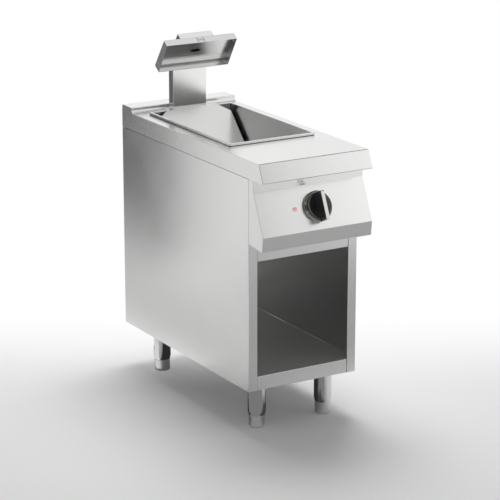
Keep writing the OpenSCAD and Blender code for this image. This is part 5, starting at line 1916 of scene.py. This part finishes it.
LAMPS = (
    Lamp("lamp_back", (3.2, 2.2), 3.5, (1.9, 3.4, 2.1), (0, 0, 0.8), True),
    Lamp("lamp_top", (1.7, 1.7), 80, (0.48, 0.85, 3.4), (0, 0.1, 0.2), False),
    Lamp("lamp_right", (1.4, 1.4), 2.4, (2.0, -1.9, 1.75), (0.1, -0.4, 0.8), True),
)
# Glowing screens that paint reflections into polished metal: painted shade and shadow where they
# are dark, painted light where they are pale.
SCREENS = (
    Screen("painted_dark_reflection_rear_left", 0.055, upright(0.02, 3.2, (-0.88, 1.3), (-1.6, 5.0))),
    Screen("painted_floor_reflection_left", 0.68, level(0.002, (-0.46, 0.08), (-0.6, 0.3), (-0.85, 1.3), (-1.3, 2.1),
                                   (-1.3, 3.2), (-0.46, 3.2))),
    # Painted shadow under the body, seen in the feet.
    Screen("painted_shadow_under_body", 0.03, level(0.002, (-0.24, -0.27), (0.1, -0.27), (0.13, -0.2),
                                    (0.2, -0.2), (0.2, 0.6), (-0.24, 0.6))),
    Screen("painted_shade_front_left_floor", 0.26, level(0.001, (-1.0, -0.72), (0.04, -0.72), (0.098, -0.27),
                                   (-0.24, 0.0), (-1.0, 0.0))),
    Screen("painted_shade_front_floor", 0.42, level(0.002, (-0.1, -0.75), (0.2, -1.8), (1.75, -1.8), (1.6, -0.75))),
    # Painted shadow on the floor between the front feet.
    Screen("painted_shadow_between_front_feet", 0.07, level(0.003, (-0.095, -0.42), (0.095, -0.42), (0.095, -0.27),
                                  (-0.095, -0.27))),
    Screen("painted_light_rear_left_floor", 0.95, level(0.003, (-0.45, 0.28), (-0.16, 0.3), (-0.16, 0.55),
                                   (-0.45, 0.7))),
    Screen("painted_shade_far_front_floor", 0.5, level(0.002, (0.4, -2.0), (0.4, -4.8), (1.42, -4.8), (1.36, -2.0))),
    # Painted light, brighter than white, on the far floor in front.
    Screen("painted_light_far_front_floor", 1.2, level(0.002, (1.36, -2.2), (1.42, -4.8), (4.2, -4.8), (2.6, -2.2))),
    Screen("painted_dark_reflection_front_left", 0.14, upright(0.75, 1.6, (-1.2, -1.7), (-1.2, -0.5))),
    Screen("painted_grey_reflection_front", 0.5, upright(0.95, 1.9, (-0.9, -1.3), (0.34, -1.3))),
    Screen("painted_dark_reflection_overhead_left", 0.1, level(3.2, (-2.1, -1.5), (-1.2, -1.5), (-1.2, 0.1), (-2.1, 0.1))),
    Screen("painted_dark_reflection_overhead_right", 0.02, level(3.1, (0.9, 1.0), (2.3, 1.0), (2.3, 2.1), (0.9, 2.1))),
)


@dataclass
class Studio:
    """Floor, surroundings, lamps and camera.

    Attributes:
        lens: Focal length on the sensor.
        sensor: Width of the sensor.
        camera_at: Place of the camera.
        pitch: How far the camera looks down, in degrees.
        yaw: How far the camera is turned to the right, in degrees.
        clip: Nearest and farthest distance that the camera shows.
        soft: Brightness of the world as a light.
        mirrored: Brightness of the world in polished metal.
        floor_half: Half of the floor's width.
        floor_drop: Distance of the floor below the feet.
        grey: Colour of the floor.
        away: Direction in the plan in which the floor fades to white.
        fade: Where this fade begins and ends.
        round_fade: Distance from the object where the floor fades on every side.
    """

    lens: float = 154.9
    sensor: float = 36
    camera_at: Triple = (-3.4467, -5.8397, 2.4727)
    pitch: float = 16.24
    yaw: float = 30.67
    clip: Point = (0.1, 100)
    soft: float = 0.4
    mirrored: float = 0.95
    floor_half: float = 30
    floor_drop: float = 0.0005
    grey: Triple = (0.82, 0.82, 0.82)
    away: Point = (0.51, 0.86)
    fade: Point = (0.0, 0.9)
    round_fade: Point = (5.0, 8.0)

    def build(self) -> None:
        """Set up the whole studio."""
        scene = bpy.context.scene
        scene.view_settings.view_transform = "Standard"
        self.camera(scene)
        self.surroundings(scene)
        self.floor(scene)
        for lamp in LAMPS:
            lamp.hang()
        for screen in SCREENS:
            screen.stand()

    def camera(self, scene: bpy.types.Scene) -> None:
        """Set the camera at the photograph's viewing angle.

        Args:
            scene: Scene that gets the camera.
        """
        data = bpy.data.cameras.new("camera")
        data.lens, data.sensor_width = self.lens, self.sensor
        data.clip_start, data.clip_end = self.clip
        ob = bpy.data.objects.new("camera", data)
        ob.location = self.camera_at
        ob.rotation_euler = (math.radians(90 - self.pitch), 0, math.radians(-self.yaw))
        scene.collection.objects.link(ob)
        scene.camera = ob

    def surroundings(self, scene: bpy.types.Scene) -> None:
        """Light the world softly, and show it white to the camera and to glossy rays.

        Args:
            scene: Scene that gets the world.
        """
        world = bpy.data.worlds.new("studio")
        world.use_nodes = True
        scene.world = world
        graph = Graph(world.node_tree)
        rays = graph.node("ShaderNodeLightPath").outputs
        seen = graph.math("MAXIMUM", rays["Is Camera Ray"], rays["Is Transmission Ray"])
        soft, glossy, white = (
            graph.node("ShaderNodeBackground", {"Color": (1, 1, 1, 1), "Strength": s}).outputs[0]
            for s in (self.soft, self.mirrored, 1.0))
        light = graph.node("ShaderNodeMixShader", {0: rays["Is Glossy Ray"], 1: soft, 2: glossy})
        shown = graph.node("ShaderNodeMixShader", {0: seen, 1: light.outputs[0], 2: white})
        graph.node("ShaderNodeOutputWorld", {"Surface": shown.outputs[0]})

    def floor(self, scene: bpy.types.Scene) -> None:
        """Lay a pale floor that fades to white in the distance.

        Args:
            scene: Scene that gets the floor.
        """
        mesh = bpy.data.meshes.new("floor")
        bm = bmesh.new()
        bmesh.ops.create_grid(bm, x_segments=1, y_segments=1, size=self.floor_half)
        bm.to_mesh(mesh)
        bm.free()
        ob = bpy.data.objects.new("floor", mesh)
        ob.location.z = -self.floor_drop
        scene.collection.objects.link(ob)
        paint = bpy.data.materials.new("floor")
        paint.use_nodes = True
        graph = Graph(paint.node_tree)
        point = graph.node("ShaderNodeNewGeometry").outputs["Position"]
        x, y, _ = graph.node("ShaderNodeSeparateXYZ", {0: point}).outputs
        away = graph.math("ADD", graph.math("MULTIPLY", x, self.away[0]),
                          graph.math("MULTIPLY", y, self.away[1]))
        distance = graph.math("SQRT", graph.math("ADD", graph.math("MULTIPLY", x, x),
                                                 graph.math("MULTIPLY", y, y)))
        far = graph.math("MAXIMUM", graph.spread(away, *self.fade),
                         graph.spread(distance, *self.round_fade))
        grey = graph.node("ShaderNodeBsdfDiffuse", {"Color": (*self.grey, 1)})
        mixed = graph.node("ShaderNodeMixShader", {0: far, 1: grey.outputs[0],
                                                   2: white_glow(graph)})
        graph.node("ShaderNodeOutputMaterial", {"Surface": mixed.outputs[0]})
        mesh.materials.append(paint)


def main() -> None:
    """Build the studio and the object."""
    logging.basicConfig(level=logging.INFO, format="%(message)s")
    Studio().build()
    panel = ControlPanel()
    knob = Knob(panel.on_slant(*panel.knob))
    for part in (Cabinet(), Feet(), Worktop(), Basin(), panel, knob, HeatLamp(), Fittings()):
        part.build()
        LOG.info("%s is ready", type(part).__name__)


if __name__ == "__main__":
    main()
